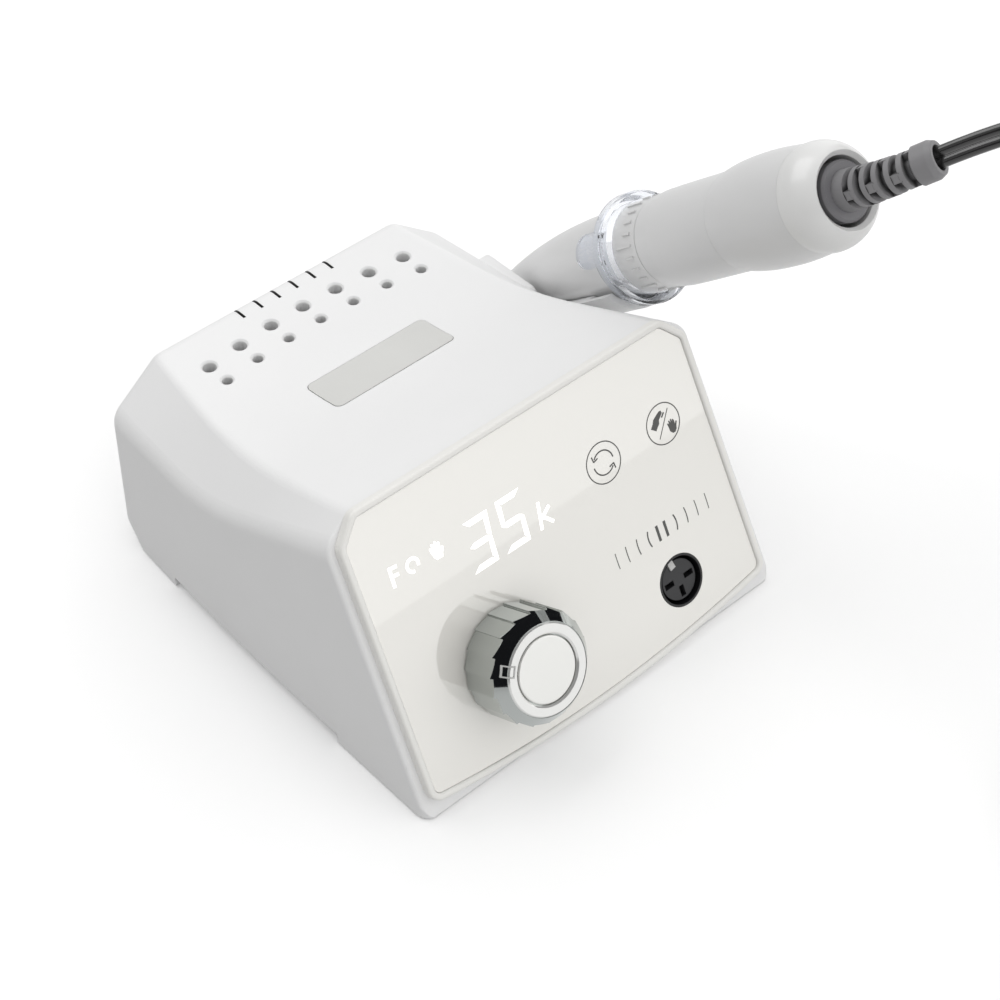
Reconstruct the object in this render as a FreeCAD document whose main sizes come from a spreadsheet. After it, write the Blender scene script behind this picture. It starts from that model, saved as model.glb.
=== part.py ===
# Nail drill machine: table-top control unit, handpiece in its side holder, and the
# handpiece's cord with its plug. Millimetres, +Z up.
#
# Everything is first placed in the machine's own frame: X = 0 on the control unit's
# middle plane, +X to the right of someone who faces the front panel, Y = 0 on the line
# through the panel's lower corners, +Y to the rear, Z = 0 on the table. The last step
# moves all of it so that the origin lies under the middle of the machine without its cord.
import FreeCAD
import Part
import math
import os

import Sketcher
from FreeCAD import Placement, Rotation, Vector

SIZES = [
    # housing
    ("housing_half_width", 67.8, "half width of the side walls at the table"),
    ("housing_depth", 145.0, "rear wall"),
    ("housing_rear_height", 62.7, "flat rear part of the top"),
    ("housing_top_slope", 0.37, "rise of the top towards the front, per mm"),
    ("shoulder_rear_height", 49.2, "lower edge of the bevel, at the rear"),
    ("shoulder_slope", 0.48, "rise of that edge towards the front, per mm"),
    ("top_half_width", 55.0, "half width of the top at the front"),
    ("top_narrowing", 10.7, "how much narrower each side of the top is at the rear"),
    ("side_narrowing", 4.0, "how much each side wall comes in at the rear"),
    ("side_draft", 0.032, "how much each side wall leans in, per mm of height"),
    ("upper_edge_radius", 5.0, "rounding between top and bevel"),
    ("lower_edge_radius", 8.0, "rounding between bevel and side wall"),
    ("rear_edge_radius", 4.0, "rounding round the rear wall"),
    ("wall", 2.4, "housing wall"),
    ("foot_gap", 0.5, "how far the housing's feet stay above the table"),
    ("skirt_gap", 3.8, "gap under the side walls between the feet"),
    ("front_foot_end", 37.0, "where the front feet end"),
    ("rear_foot_start", 116.0, "where the rear feet start"),
    ("rear_undercut", 12.0, "height and length of the bevel under the rear wall"),
    # front panel
    ("panel_tilt", 63.1, "panel's angle to the table, in degrees"),
    ("front_edge_radius", 1.2, "edges between the side walls and the front"),
    ("front_corner_radius", 4.5, "corners of the front near the table"),
    ("panel_rise", 7.7, "height of the panel's lower corners"),
    ("panel_half_width", 62.6, "half width at the lower corners"),
    ("panel_shoulder_half", 60.7, "half width where the upper corners start"),
    ("panel_top_half", 54.8, "half width of the top edge"),
    ("panel_shoulder", 76.4, "distance up the panel where the upper corners start"),
    ("panel_height", 82.6, "distance up the panel to its top edge"),
    ("panel_sag", 4.8, "how far the lower edge bows down"),
    ("panel_corner", 2.0, "panel's corner radius"),
    ("panel_thickness", 3.0, "panel"),
    ("front_step", 2.1, "how far the housing's front face lies behind the panel's face"),
    ("front_ledge", 6.0, "width of the ledge behind the panel's edge"),
    ("bezel_width", 2.2, "bead round the panel"),
    ("bezel_proud", 0.8, "how far the bead stands out from the panel"),
    ("seam", 0.12, "gap between the panel and the bead"),
    # badge
    ("badge_half_width", 21.8, "badge plate"),
    ("badge_rear", 102.0, "its rear edge"),
    ("badge_front", 86.6, "its front edge"),
    ("badge_thickness", 1.2, "plate"),
    ("badge_proud", 0.12, "how far it stands out"),
    ("badge_gap", 0.15, "gap round it"),
    # vents
    ("vent_pitch", 12.16, "spacing of the vent holes"),
    ("vent_radius", 2.1, "large vents"),
    ("vent_depth", 4.6, "housing wall where the vents pass through it"),
    ("vent_row", 128.1, "row of large vents, at its ends"),
    ("small_vent_radius", 1.6, "small vents"),
    ("small_vent_row", 120.0, "row of small vents, at its ends"),
    ("vent_bow", 2.7, "how much further back the middle of a row lies"),
    ("slot_pitch", 6.66, "spacing of the slots in the rear top edge"),
    ("slot_width", 0.9, "slots"),
    # knob
    ("knob_x", -26.0, "knob's place on the panel"),
    ("knob_up", 21.8, "knob's place on the panel"),
    ("knob_radius", 16.5, "fluted skirt"),
    ("knob_face_radius", 13.3, "front ring"),
    ("knob_height", 15.8, "from the skirt's foot to the front ring"),
    ("knob_bevel", 4.0, "height of the bevel between skirt and ring"),
    ("knob_gap", 0.8, "gap between knob and panel"),
    ("knob_step", 0.55, "depth of the step between two facets"),
    ("knob_ring_inner", 10.0, "inner radius of the front ring"),
    ("knob_cap_radius", 9.6, "disc in the front ring"),
    ("shaft_radius", 3.0, "speed control's shaft"),
    # socket on the panel
    ("socket_x", 35.2, "socket's place on the panel"),
    ("socket_up", 11.0, "socket's place on the panel"),
    ("socket_radius", 8.0, "socket body"),
    ("socket_bore", 7.3, "inside the socket's wall"),
    ("socket_core", 6.2, "insert that holds the contacts"),
    ("contact_circle", 3.75, "radius of the circle of contacts"),
    ("contact_length", 3.4, "contact, along the socket's radius"),
    ("contact_width", 1.7, "contact, across"),
    # inside the control unit
    ("board_thickness", 1.6, "circuit boards"),
    ("base_thickness", 2.2, "base plate"),
    ("base_clearance", 0.25, "gap between base plate and housing"),
    ("boss_radius", 4.0, "screw bosses"),
    ("screw_radius", 1.5, "screw shanks"),
    ("pad_radius", 6.0, "rubber feet"),
    # handpiece
    ("nose_beside", 10.2, "nose tip, outwards from the housing's widest place"),
    ("nose_y", 124.15, "nose tip"),
    ("nose_z", 30.34, "nose tip"),
    ("handpiece_yaw", 4.26, "turn of its rear end to the right, in degrees"),
    ("handpiece_pitch", 39.88, "rise of its rear end, in degrees"),
    ("tip_radius", 4.7, "collar at the nose tip"),
    ("tip_length", 3.6, "collar at the nose tip"),
    ("cone_length", 63.0, "from the tip to where the cone is full"),
    ("cone_radius", 13.2, "full radius of the cone"),
    ("cone_small_radius", 5.1, "cone where it meets the collar"),
    ("collar_front", 67.5, "twist collar's front edge"),
    ("collar_rear", 83.2, "twist collar's rear edge"),
    ("collar_radius", 13.7, "twist collar"),
    ("ring_front", 66.6, "guard ring"),
    ("ring_length", 6.6, "guard ring"),
    ("ring_radius", 17.0, "guard ring"),
    ("sleeve_front", 83.5, "motor sleeve's front edge"),
    ("sleeve_rear", 117.0, "motor sleeve's rear edge"),
    ("sleeve_radius", 14.3, "motor sleeve"),
    ("grip_radius", 15.95, "widest place of the rear housing"),
    ("lip_front", 148.5, "where the rear lip starts"),
    ("lip_radius", 14.9, "rear lip at its front edge"),
    ("opening_radius", 9.7, "opening in the rear lip"),
    ("opening_place", 160.0, "rear end of the lip"),
    ("can_radius", 12.5, "motor can, and the bores that it sits in"),
    ("can_wall", 1.1, "motor can"),
    ("bearing_radius", 5.2, "front bearings, and the seats that they sit in"),
    ("rear_bearing_radius", 4.6, "rear bearing"),
    ("chuck_radius", 2.7, "chuck where it runs in its bearings"),
    ("rotor_shaft_radius", 2.5, "chuck's neck and the motor's shaft"),
    ("shank_bore", 1.18, "bore of the chuck for a 2.35 mm shank"),
    ("shank_depth", 20.0, "depth of that bore"),
    ("running_gap", 0.05, "radial clearance of turning shafts"),
    # strain relief
    ("relief_root_radius", 5.8, "relief at the disc"),
    ("relief_tip_radius", 4.7, "relief at its tip"),
    ("relief_length", 30.0, "relief, along its bend"),
    ("relief_bend", 24.0, "how far the relief bends to the right, in degrees"),
    ("relief_core", 3.1, "inner tube of the relief"),
    ("relief_slots", 6, "rows of slots"),
    ("relief_mouth_gap", 0.5, "gap between the cord and the mouth in the relief's tip"),
    ("relief_mouth_depth", 1.3, "depth of that mouth"),
    # holder
    ("cradle_gap", 0.35, "gap between cone and cradle"),
    ("cradle_wall", 2.2, "cradle"),
    ("cradle_drop", 7.0, "how far the cradle's rims lie below the cone's axis"),
    ("pocket_rise", 2.4, "how far the nose pocket's walls reach above that axis"),
    ("pocket_end", 11.0, "where the nose pocket ends, from the tip"),
    ("bracket_top", 48.8, "top edge of the bracket on the side wall"),
    # cord
    ("cord_diameter", 6.0, "the two strands of the cord, side by side"),
    ("coil_outer_radius", 41.4, "outermost turn of the put-away length"),
    ("coil_gap", 0.6, "gap between two turns"),
    ("plug_radius", 9.6, "grip ring of the plug"),
]

DOC = FreeCAD.newDocument("nail_drill_machine")
SHEET = DOC.addObject("Spreadsheet::Sheet", "Sizes")
PARTS = {}


class Dim:
    """A size: its value in mm, and the expression that gives it from the sheet."""

    def __init__(self, value, text):
        self.value = float(value)
        self.text = text

    def __add__(self, other):
        other = dim(other)
        return Dim(self.value + other.value, f"({self.text} + {other.text})")

    def __sub__(self, other):
        other = dim(other)
        return Dim(self.value - other.value, f"({self.text} - {other.text})")

    def __mul__(self, other):
        other = dim(other)
        return Dim(self.value * other.value, f"({self.text} * {other.text})")

    def __truediv__(self, other):
        other = dim(other)
        return Dim(self.value / other.value, f"({self.text} / {other.text})")

    def __radd__(self, other):
        return dim(other) + self

    def __rsub__(self, other):
        return dim(other) - self

    __rmul__ = __mul__


def dim(value):
    """Return the value as a Dim."""
    return value if isinstance(value, Dim) else Dim(value, f"({float(value)})")


def fill_sheet():
    """Write each size to its own cell, with its name as the cell's alias."""
    for row, (name, value, note) in enumerate(SIZES, start=1):
        SHEET.set(f"A{row}", name)
        SHEET.set(f"B{row}", str(value))
        SHEET.setAlias(f"B{row}", name)
        SHEET.set(f"C{row}", note)
    DOC.recompute()


fill_sheet()


def size(name):
    """Return a size from the sheet as a Dim."""
    return Dim(SHEET.get(name), f"Sizes.{name}")


def mm(name):
    """Return a size from the sheet as a number."""
    return size(name).value


def bind(thing, prop, value):
    """Set a property from a Dim and keep it bound to the sheet."""
    value = dim(value)
    setattr(thing, prop, value.value)
    thing.setExpression(prop, value.text)


def keep(label, thing, place=None):
    """Name a finished piece, put it in its place and list it as a sub-part."""
    thing.Label = label
    if place is not None:
        thing.Placement = place
    PARTS[label] = thing
    return thing


def formed(label, shape, place=None):
    """Keep a piece whose shape no single feature makes."""
    thing = DOC.addObject("Part::Feature", label)
    thing.Shape = shape
    return keep(label, thing, place)


# Sketched pieces


def origin_plane(body, role):
    """Return the body's own origin plane with this role."""
    return next(plane for plane in body.Origin.OriginFeatures if plane.Role == role)


def arc_between(start, end, radius, side):
    """Return an arc from start to end; side 1 bulges to the right of the way, -1 to the left."""
    middle = (start + end) / 2
    half = (end - start).Length / 2
    way = (end - start).normalize()
    right = Vector(way.y, -way.x, 0)
    rise = radius - math.sqrt(radius * radius - half * half)
    return Part.Arc(start, middle + right * (rise * side), end)


def outline_sketch(body, role, name, corners):
    """Sketch a closed outline. A corner is (x, y), or (x, y, radius, side) where an arc leads to it."""
    sketch = body.newObject("Sketcher::SketchObject", name)
    sketch.AttachmentSupport = [(origin_plane(body, role), "")]
    sketch.MapMode = "FlatFace"
    corners = [(dim(c[0]), dim(c[1])) + tuple(c[2:]) for c in corners]
    points = [Vector(c[0].value, c[1].value, 0) for c in corners]
    count = len(corners)
    for index in range(count):
        target = corners[(index + 1) % count]
        start = points[index]
        end = points[(index + 1) % count]
        if len(target) == 4:
            sketch.addGeometry(arc_between(start, end, target[2].value, target[3]), False)
        else:
            sketch.addGeometry(Part.LineSegment(start, end), False)
    ends = []
    for index in range(count):
        curve = sketch.Geometry[index]
        forward = (curve.StartPoint - points[index]).Length < 1e-6
        ends.append((1, 2) if forward else (2, 1))
    for index in range(count):
        after = (index + 1) % count
        sketch.addConstraint(Sketcher.Constraint("Coincident", index, ends[index][1], after, ends[after][0]))
    for index, corner in enumerate(corners):
        for axis, value, line in (("X", corner[0], -2), ("Y", corner[1], -1)):
            if abs(value.value) < 1e-9:
                sketch.addConstraint(Sketcher.Constraint("PointOnObject", index, ends[index][0], line))
                continue
            rule = Sketcher.Constraint(f"Distance{axis}", -1, 1, index, ends[index][0], value.value)
            number = sketch.addConstraint(rule)
            sketch.renameConstraint(number, f"corner{index}{axis}")
            sketch.setExpression(f"Constraints.corner{index}{axis}", value.text)
        if len(corner) == 4:
            curve = (index - 1) % count
            number = sketch.addConstraint(Sketcher.Constraint("Radius", curve, corner[2].value))
            sketch.renameConstraint(number, f"round{index}")
            sketch.setExpression(f"Constraints.round{index}", corner[2].text)
    return sketch


def turned(label, corners, place=None):
    """A piece turned about its Z axis from an outline of (radius, height) corners."""
    body = DOC.addObject("PartDesign::Body", label)
    sketch = outline_sketch(body, "XZ_Plane", label + "_outline", corners)
    turn = body.newObject("PartDesign::Revolution", label + "_turn")
    turn.Profile = sketch
    turn.ReferenceAxis = (sketch, ["V_Axis"])
    turn.Angle = 360
    body.Tip = turn
    return keep(label, body, place)


def ring_corners(inner, outer, low, high):
    """Corners of a plain ring or tube."""
    return [(inner, low), (outer, low), (outer, high), (inner, high)]


def disc_corners(radius, low, high):
    """Corners of a plain disc or rod."""
    return [(0, low), (radius, low), (radius, high), (0, high)]


def padded_outline(label, corners, thickness, place=None):
    """A flat piece: an outline in its XY plane, padded upwards."""
    body = DOC.addObject("PartDesign::Body", label)
    sketch = outline_sketch(body, "XY_Plane", label + "_outline", corners)
    pad = body.newObject("PartDesign::Pad", label + "_pad")
    pad.Profile = sketch
    bind(pad, "Length", thickness)
    body.Tip = pad
    return keep(label, body, place)


def circle_pocket(body, name, x, y, radius):
    """Cut a round hole right through a padded piece."""
    sketch = body.newObject("Sketcher::SketchObject", name + "_circle")
    sketch.AttachmentSupport = [(origin_plane(body, "XY_Plane"), "")]
    sketch.MapMode = "FlatFace"
    x, y, radius = dim(x), dim(y), dim(radius)
    sketch.addGeometry(Part.Circle(Vector(x.value, y.value, 0), Vector(0, 0, 1), radius.value), False)
    for axis, value in (("X", x), ("Y", y)):
        number = sketch.addConstraint(Sketcher.Constraint(f"Distance{axis}", -1, 1, 0, 3, value.value))
        sketch.renameConstraint(number, "centre" + axis)
        sketch.setExpression("Constraints.centre" + axis, value.text)
    number = sketch.addConstraint(Sketcher.Constraint("Radius", 0, radius.value))
    sketch.renameConstraint(number, "radius")
    sketch.setExpression("Constraints.radius", radius.text)
    before = body.Shape.Volume
    pocket = body.newObject("PartDesign::Pocket", name)
    pocket.Profile = sketch
    pocket.Type = "ThroughAll"
    pocket.Midplane = True
    body.Tip = pocket
    DOC.recompute()
    if body.Shape.Volume > before - 1e-3:
        raise ValueError(name + " cuts nothing")


# Pieces from simple solids


def block(name, corner, lengths):
    """A box from its lowest corner and its three lengths, bound to the sheet."""
    box = DOC.addObject("Part::Box", name)
    for prop, value in zip(("Length", "Width", "Height"), lengths):
        bind(box, prop, value)
    for prop, value in zip(("x", "y", "z"), corner):
        bind_place(box, prop, value)
    return box


def turned_block(name, lengths, place):
    """A box whose place is turned, with its lengths bound to the sheet."""
    box = DOC.addObject("Part::Box", name)
    for prop, value in zip(("Length", "Width", "Height"), lengths):
        bind(box, prop, value)
    box.Placement = place
    return box


def rod(name, centre, radius, height):
    """An upright cylinder from the centre of its foot, bound to the sheet."""
    cylinder = DOC.addObject("Part::Cylinder", name)
    bind(cylinder, "Radius", radius)
    bind(cylinder, "Height", height)
    for prop, value in zip(("x", "y", "z"), centre):
        bind_place(cylinder, prop, value)
    return cylinder


def bind_place(thing, prop, value):
    """Bind one coordinate of a piece's place to the sheet."""
    value = dim(value)
    base = thing.Placement.Base
    setattr(base, prop, value.value)
    thing.Placement = Placement(base, thing.Placement.Rotation)
    thing.setExpression("Placement.Base." + prop, value.text)


def joined(name, things):
    """Several solids as one piece, or as a group of separate solids where they don't touch."""
    fuse = DOC.addObject("Part::MultiFuse", name)
    fuse.Shapes = things
    return fuse


def grouped(label, members):
    """Keep pieces of one kind, named so far on their own, as one group of separate solids."""
    return keep(label, joined(label, [PARTS.pop(member) for member in members]))


def cut(name, base, tools):
    """A solid with one or more others cut from it."""
    tool = tools[0] if len(tools) == 1 else joined(name + "_tools", tools)
    result = DOC.addObject("Part::Cut", name)
    result.Base = base
    result.Tool = tool
    return result


# Places


def panel_place(x=0.0, up=0.0, out=0.0):
    """Place on the front panel: X across it, Y up its slope, Z out of its face."""
    turn = Rotation(Vector(1, 0, 0), mm("panel_tilt"))
    foot = Vector(0, 0, mm("panel_rise"))
    return Placement(foot + turn.multVec(Vector(x, up, out)), turn)


def handpiece_place():
    """Place of the handpiece: Z along its axis from nose to cord, Y up, X to the right."""
    yaw = math.radians(mm("handpiece_yaw"))
    pitch = math.radians(mm("handpiece_pitch"))
    along = Vector(
        math.sin(yaw) * math.cos(pitch), -math.cos(yaw) * math.cos(pitch), math.sin(pitch)
    )
    up = (Vector(0, 0, 1) - along * along.z).normalize()
    across = up.cross(along)
    nose = Vector(mm("housing_half_width") + mm("nose_beside"), mm("nose_y"), mm("nose_z"))
    return Placement(nose, Rotation(across, up, along, "ZYX"))


def rear_place(x=0.0, height=0.0, out=0.0):
    """Place on the rear wall: X to the left of the front view, Y up, Z out of the wall."""
    turn = Rotation(Vector(-1, 0, 0), Vector(0, 0, 1), Vector(0, 1, 0), "ZYX")
    return Placement(Vector(x, mm("housing_depth") + out, height), turn)


# Housing

# Half side of the solids that cut away everything on one side of a plane.
WIDE = 200.0


def bend_height(y, rear_height, slope, start, end):
    """Height of a line that is flat at the rear, bends up between start and end, then rises."""
    if y > start:
        return rear_height
    if y > end:
        return rear_height + slope * (start - y) ** 2 / (2 * (start - end))
    return rear_height + slope * (start - end) / 2 + slope * (end - y)


TOP_BEND = (111.0, 72.5)
SHOULDER_BEND = (112.0, 78.0)
SIDE_BEND_START = 50.0
TOP_NARROWING_START = 45.0
TOP_NARROWING_POWER = 1.6
SECTION_PLACES = (145.0, 134.0, 123.0, 112.0, 101.0, 90.0, 79.0, 68.0, 55.0, 40.0, 20.0, 0.0, -14.0)
REAR_PLACE = SECTION_PLACES[0]
LEAST_BEVEL = 3.5


def section_corners(y):
    """Right half of the housing's section at y, which counts from 0 at the front to 145 at the rear."""
    back = max(0.0, y - SIDE_BEND_START) / (REAR_PLACE - SIDE_BEND_START)
    floor_half = mm("housing_half_width") - mm("side_narrowing") * back ** 2
    back = max(0.0, y - TOP_NARROWING_START) / (REAR_PLACE - TOP_NARROWING_START)
    top_half = mm("top_half_width") - mm("top_narrowing") * back ** TOP_NARROWING_POWER
    top = bend_height(y, mm("housing_rear_height"), mm("housing_top_slope"), *TOP_BEND)
    shoulder = bend_height(y, mm("shoulder_rear_height"), mm("shoulder_slope"), *SHOULDER_BEND)
    shoulder = min(shoulder, top - LEAST_BEVEL)
    draft = mm("side_draft")
    return [(floor_half, 0.0), (floor_half - draft * shoulder, shoulder), (top_half, top)]


def inset_corners(corners, inset):
    """Move the lines of a half section inwards, and return where they meet again."""
    floor, shoulder, top = corners
    lines = []
    for start, end in ((floor, shoulder), (shoulder, top), (top, (0.0, top[1]))):
        way = (end[0] - start[0], end[1] - start[1])
        length = math.hypot(*way)
        inward = (-way[1] / length, way[0] / length)
        lines.append(((start[0] + inward[0] * inset, start[1] + inward[1] * inset), way))

    def meet(first, second):
        (px, py), (ux, uy) = first
        (qx, qy), (vx, vy) = second
        part = ((qx - px) * vy - (qy - py) * vx) / (ux * vy - uy * vx)
        return (px + ux * part, py + uy * part)

    level = ((0.0, 0.0), (1.0, 0.0))
    return [meet(lines[0], level), meet(lines[0], lines[1]), meet(lines[1], lines[2])]


def section_wire(y, place, inset):
    """The housing's whole section as a wire with its four upper corners rounded."""
    floor, shoulder, top = inset_corners(section_corners(y), inset)
    right = [floor, shoulder, top]
    left = [(-x, z) for x, z in reversed(right)]
    corners = [Vector(x, place, z) for x, z in right + left]
    low = max(mm("lower_edge_radius") - inset, 1.0)
    high = max(mm("upper_edge_radius") - inset, 1.0)
    radii = [0.0, low, high, high, low, 0.0]
    edges = []
    count = len(corners)
    entries = []
    for index in range(count):
        corner = corners[index]
        before = (corners[index - 1] - corner).normalize()
        after = (corners[(index + 1) % count] - corner).normalize()
        if radii[index] == 0.0:
            entries.append((corner, corner, None))
            continue
        half_angle = before.getAngle(after) / 2
        reach = radii[index] / math.tan(half_angle)
        bisector = (before + after).normalize()
        centre = corner + bisector * (radii[index] / math.sin(half_angle))
        middle = centre - bisector * radii[index]
        entries.append((corner + before * reach, corner + after * reach, middle))
    for index in range(count):
        start, end, middle = entries[index]
        if middle is not None:
            edges.append(Part.Arc(start, middle, end).toShape())
        edges.append(Part.LineSegment(end, entries[(index + 1) % count][0]).toShape())
    return Part.Wire(edges)


def housing_solid(inset):
    """The housing's outside, or its inside where inset is the wall."""
    stretch = mm("housing_depth") / REAR_PLACE
    sections = []
    for y in SECTION_PLACES:
        place = y * stretch
        if y == REAR_PLACE:
            place -= inset
        sections.append(section_wire(y, place, inset))
    return Part.makeLoft(sections, True, False)


def front_cutter(behind):
    """Everything in front of a plane that lies this far behind the panel's face."""
    box = Part.makeBox(2 * WIDE, 2 * WIDE, WIDE, Vector(-WIDE, -WIDE / 2, -behind))
    box.Placement = panel_place()
    return box


def rear_undercut_cutter():
    """Wedge that bevels the rear wall's foot."""
    depth = mm("housing_depth")
    reach = mm("rear_undercut")
    points = [Vector(-WIDE, depth - reach, -1), Vector(-WIDE, depth + 1, reach), Vector(-WIDE, depth + 1, -1)]
    wire = Part.makePolygon(points + points[:1])
    return Part.Face(wire).extrude(Vector(2 * WIDE, 0, 0))


def rounded_rear(solid, radius):
    """Round the edges of the rear wall, apart from the one on the table."""
    edges = []
    for edge in solid.Edges:
        box = edge.BoundBox
        on_rear = box.YMin > mm("housing_depth") - 1e-3
        if on_rear and box.ZMax > 1.0:
            edges.append(edge)
    return solid.makeFillet(radius, edges)


def rounded_front(solid):
    """Round the two edges between the side walls and the front."""
    edges = []
    front = panel_place(out=-mm("front_step"))
    normal = front.Rotation.multVec(Vector(0, 0, 1))
    for edge in solid.Edges:
        ends = [vertex.Point for vertex in edge.Vertexes]
        if any(abs((point - front.Base).dot(normal)) > 1e-3 for point in ends):
            continue
        wide = min(abs(point.x) for point in ends) > mm("housing_half_width") - 6
        tall = edge.BoundBox.ZLength > 20
        if wide and tall:
            edges.append(edge)
    return solid.makeFillet(mm("front_edge_radius"), edges)


def front_corner_cutters():
    """What is cut off the housing's front corners to round them where they near the table."""
    radius, side, beyond = mm("front_corner_radius"), mm("housing_half_width"), 2.0
    front = panel_place(out=-mm("front_step")).Base
    slope = math.tan(math.radians(mm("panel_tilt")))
    nearest = front.y - front.z / slope
    tall = radius * slope + beyond
    cutters = []
    for sign in (-1, 1):
        middle = Vector(sign * (side - radius), nearest + radius, -beyond)
        left = min(middle.x, sign * (side + beyond))
        box = Part.makeBox(radius + beyond, radius + beyond, tall, Vector(left, nearest - beyond, -beyond))
        cutters.append(box.cut(Part.makeCylinder(radius, tall, middle)))
    return cutters


def panel_face(offset=0.0):
    """The panel's outline with its rounded corners, grown by an offset, in the panel's own frame."""
    side = [
        Vector(mm("panel_half_width"), 0, 0),
        Vector(mm("panel_shoulder_half"), mm("panel_shoulder"), 0),
        Vector(mm("panel_top_half"), mm("panel_height"), 0),
    ]
    other = [Vector(-p.x, p.y, 0) for p in reversed(side)]
    corners = side + other
    bow = Part.Arc(other[-1], Vector(0, -mm("panel_sag"), 0), side[0])
    edges = [bow.toShape()]
    edges += [Part.LineSegment(a, b).toShape() for a, b in zip(corners, corners[1:])]
    slab = Part.Face(Part.Wire(edges)).extrude(Vector(0, 0, 1))
    upright = [edge for edge in slab.Edges if edge.BoundBox.ZLength > 0.9]
    slab = slab.makeFillet(mm("panel_corner"), upright)
    face = min(slab.Faces, key=lambda each: each.BoundBox.ZMax)
    return face.makeOffset2D(offset) if offset else face


def panel_prism(offset, low, high):
    """The panel's grown outline between two heights off its face, in the machine's frame."""
    solid = panel_face(offset).extrude(Vector(0, 0, high - low))
    solid.translate(Vector(0, 0, low))
    solid.Placement = panel_place().multiply(solid.Placement)
    return solid


def badge_prism(gap):
    """Upright block with the badge plate's rounded outline."""
    half = mm("badge_half_width") + gap
    low = mm("badge_front") - gap
    high = mm("badge_rear") + gap
    tall = mm("housing_rear_height")
    upright_block = Part.makeBox(2 * half, high - low, tall, Vector(-half, low, tall / 2))
    upright = [e for e in upright_block.Edges if e.BoundBox.ZLength > tall - 1]
    return upright_block.makeFillet(BADGE_CORNER + gap, upright)


BADGE_CORNER = 2.0
BOSS_PLACES = ((-54.0, 20.0), (54.0, 20.0), (-52.0, 124.0), (52.0, 124.0))
PAD_PLACES = ((-46.0, 12.5), (46.0, 12.5), (-46.0, 115.0), (46.0, 115.0))
BOSS_ROOF = 90.0
BOSS_HOLE_TOP = 14.0
REAR_GAP_HALF = 44.0
BASE_PLATE_END = 133.0


def base_level():
    """Underside of the base plate."""
    return mm("skirt_gap")


SMALL_ROW_SHIFT = 0.37
VENT_SINK = 0.55
SLOTS = {"count": 6, "shift": 0.8, "length": 6.8, "drop": 3.4}
VENT_MARGIN = 2.4


def vent_cutters():
    """Two bowed rows of countersunk round vents and a row of slots in the rear top edge."""
    top = mm("housing_rear_height")
    cutters = []
    rows = (("vent_radius", "vent_row", 0.0), ("small_vent_radius", "small_vent_row", SMALL_ROW_SHIFT))
    for radius_name, row_name, shift in rows:
        radius = mm(radius_name)
        for step in range(-3, 4):
            x = step * mm("vent_pitch") + shift
            y = mm(row_name) + mm("vent_bow") * (1 - (step / 3) ** 2)
            cutters.append(Part.makeCylinder(radius, 10, Vector(x, y, top - 8)))
            foot = Vector(x, y, top - VENT_SINK)
            cutters.append(Part.makeCone(radius, radius + 2 * VENT_SINK, 2 * VENT_SINK, foot))
    for step in range(SLOTS["count"]):
        x = (step - (SLOTS["count"] - 1) / 2) * mm("slot_pitch") + SLOTS["shift"]
        corner = Vector(x - mm("slot_width") / 2, mm("housing_depth") - SLOTS["length"], top - SLOTS["drop"])
        cutters.append(Part.makeBox(mm("slot_width"), SLOTS["length"] + 2, 2 * SLOTS["drop"], corner))
    return cutters


def vent_pad():
    """Thicker place under the top that the two rows of vents pass through."""
    half = 3 * mm("vent_pitch") + mm("vent_radius") + VENT_MARGIN
    near = mm("small_vent_row") - mm("small_vent_radius") - VENT_MARGIN
    far = mm("vent_row") + mm("vent_bow") + mm("vent_radius") + VENT_MARGIN
    low = mm("housing_rear_height") - mm("vent_depth")
    return Part.makeBox(2 * half, far - near, mm("vent_depth"), Vector(-half, near, low))


INLET = {"x": -32.0, "height": 30.0, "half_width": 13.6, "half_height": 10.0}
SWITCH = {"x": 4.0, "height": 30.0, "half_width": 9.6, "half_height": 6.5}
JACK = {"x": 36.0, "height": 30.0, "radius": 4.6, "bore": 3.2}
BRACKET_INSET = 0.6
BRACKET_SCREW_PLACES = ((104.0, 26.5), (121.5, 43.5))
REAR_FIT = 0.1
ROCKER_TILT = 8.0
ROCKER_PIVOT_DEPTH = -1.0
ROCKER_PLAY = 0.35
SWITCH_WALL = 1.2


def rear_wall_cutters():
    """Holes in the rear wall for the inlet, the mains switch and the pedal jack."""
    depth = mm("housing_depth")
    cutters = []
    for hole in (INLET, SWITCH):
        half = hole["half_width"] + REAR_FIT
        tall = hole["half_height"] + REAR_FIT
        corner = Vector(hole["x"] - half, depth - 10, hole["height"] - tall)
        cutters.append(Part.makeBox(2 * half, 20, 2 * tall, corner))
    radius = JACK["radius"] + REAR_FIT
    centre = Vector(JACK["x"], depth - 10, JACK["height"])
    cutters.append(Part.makeCylinder(radius, 20, centre, Vector(0, 1, 0)))
    return cutters


BEZEL_ROUNDING = 0.75


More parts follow.
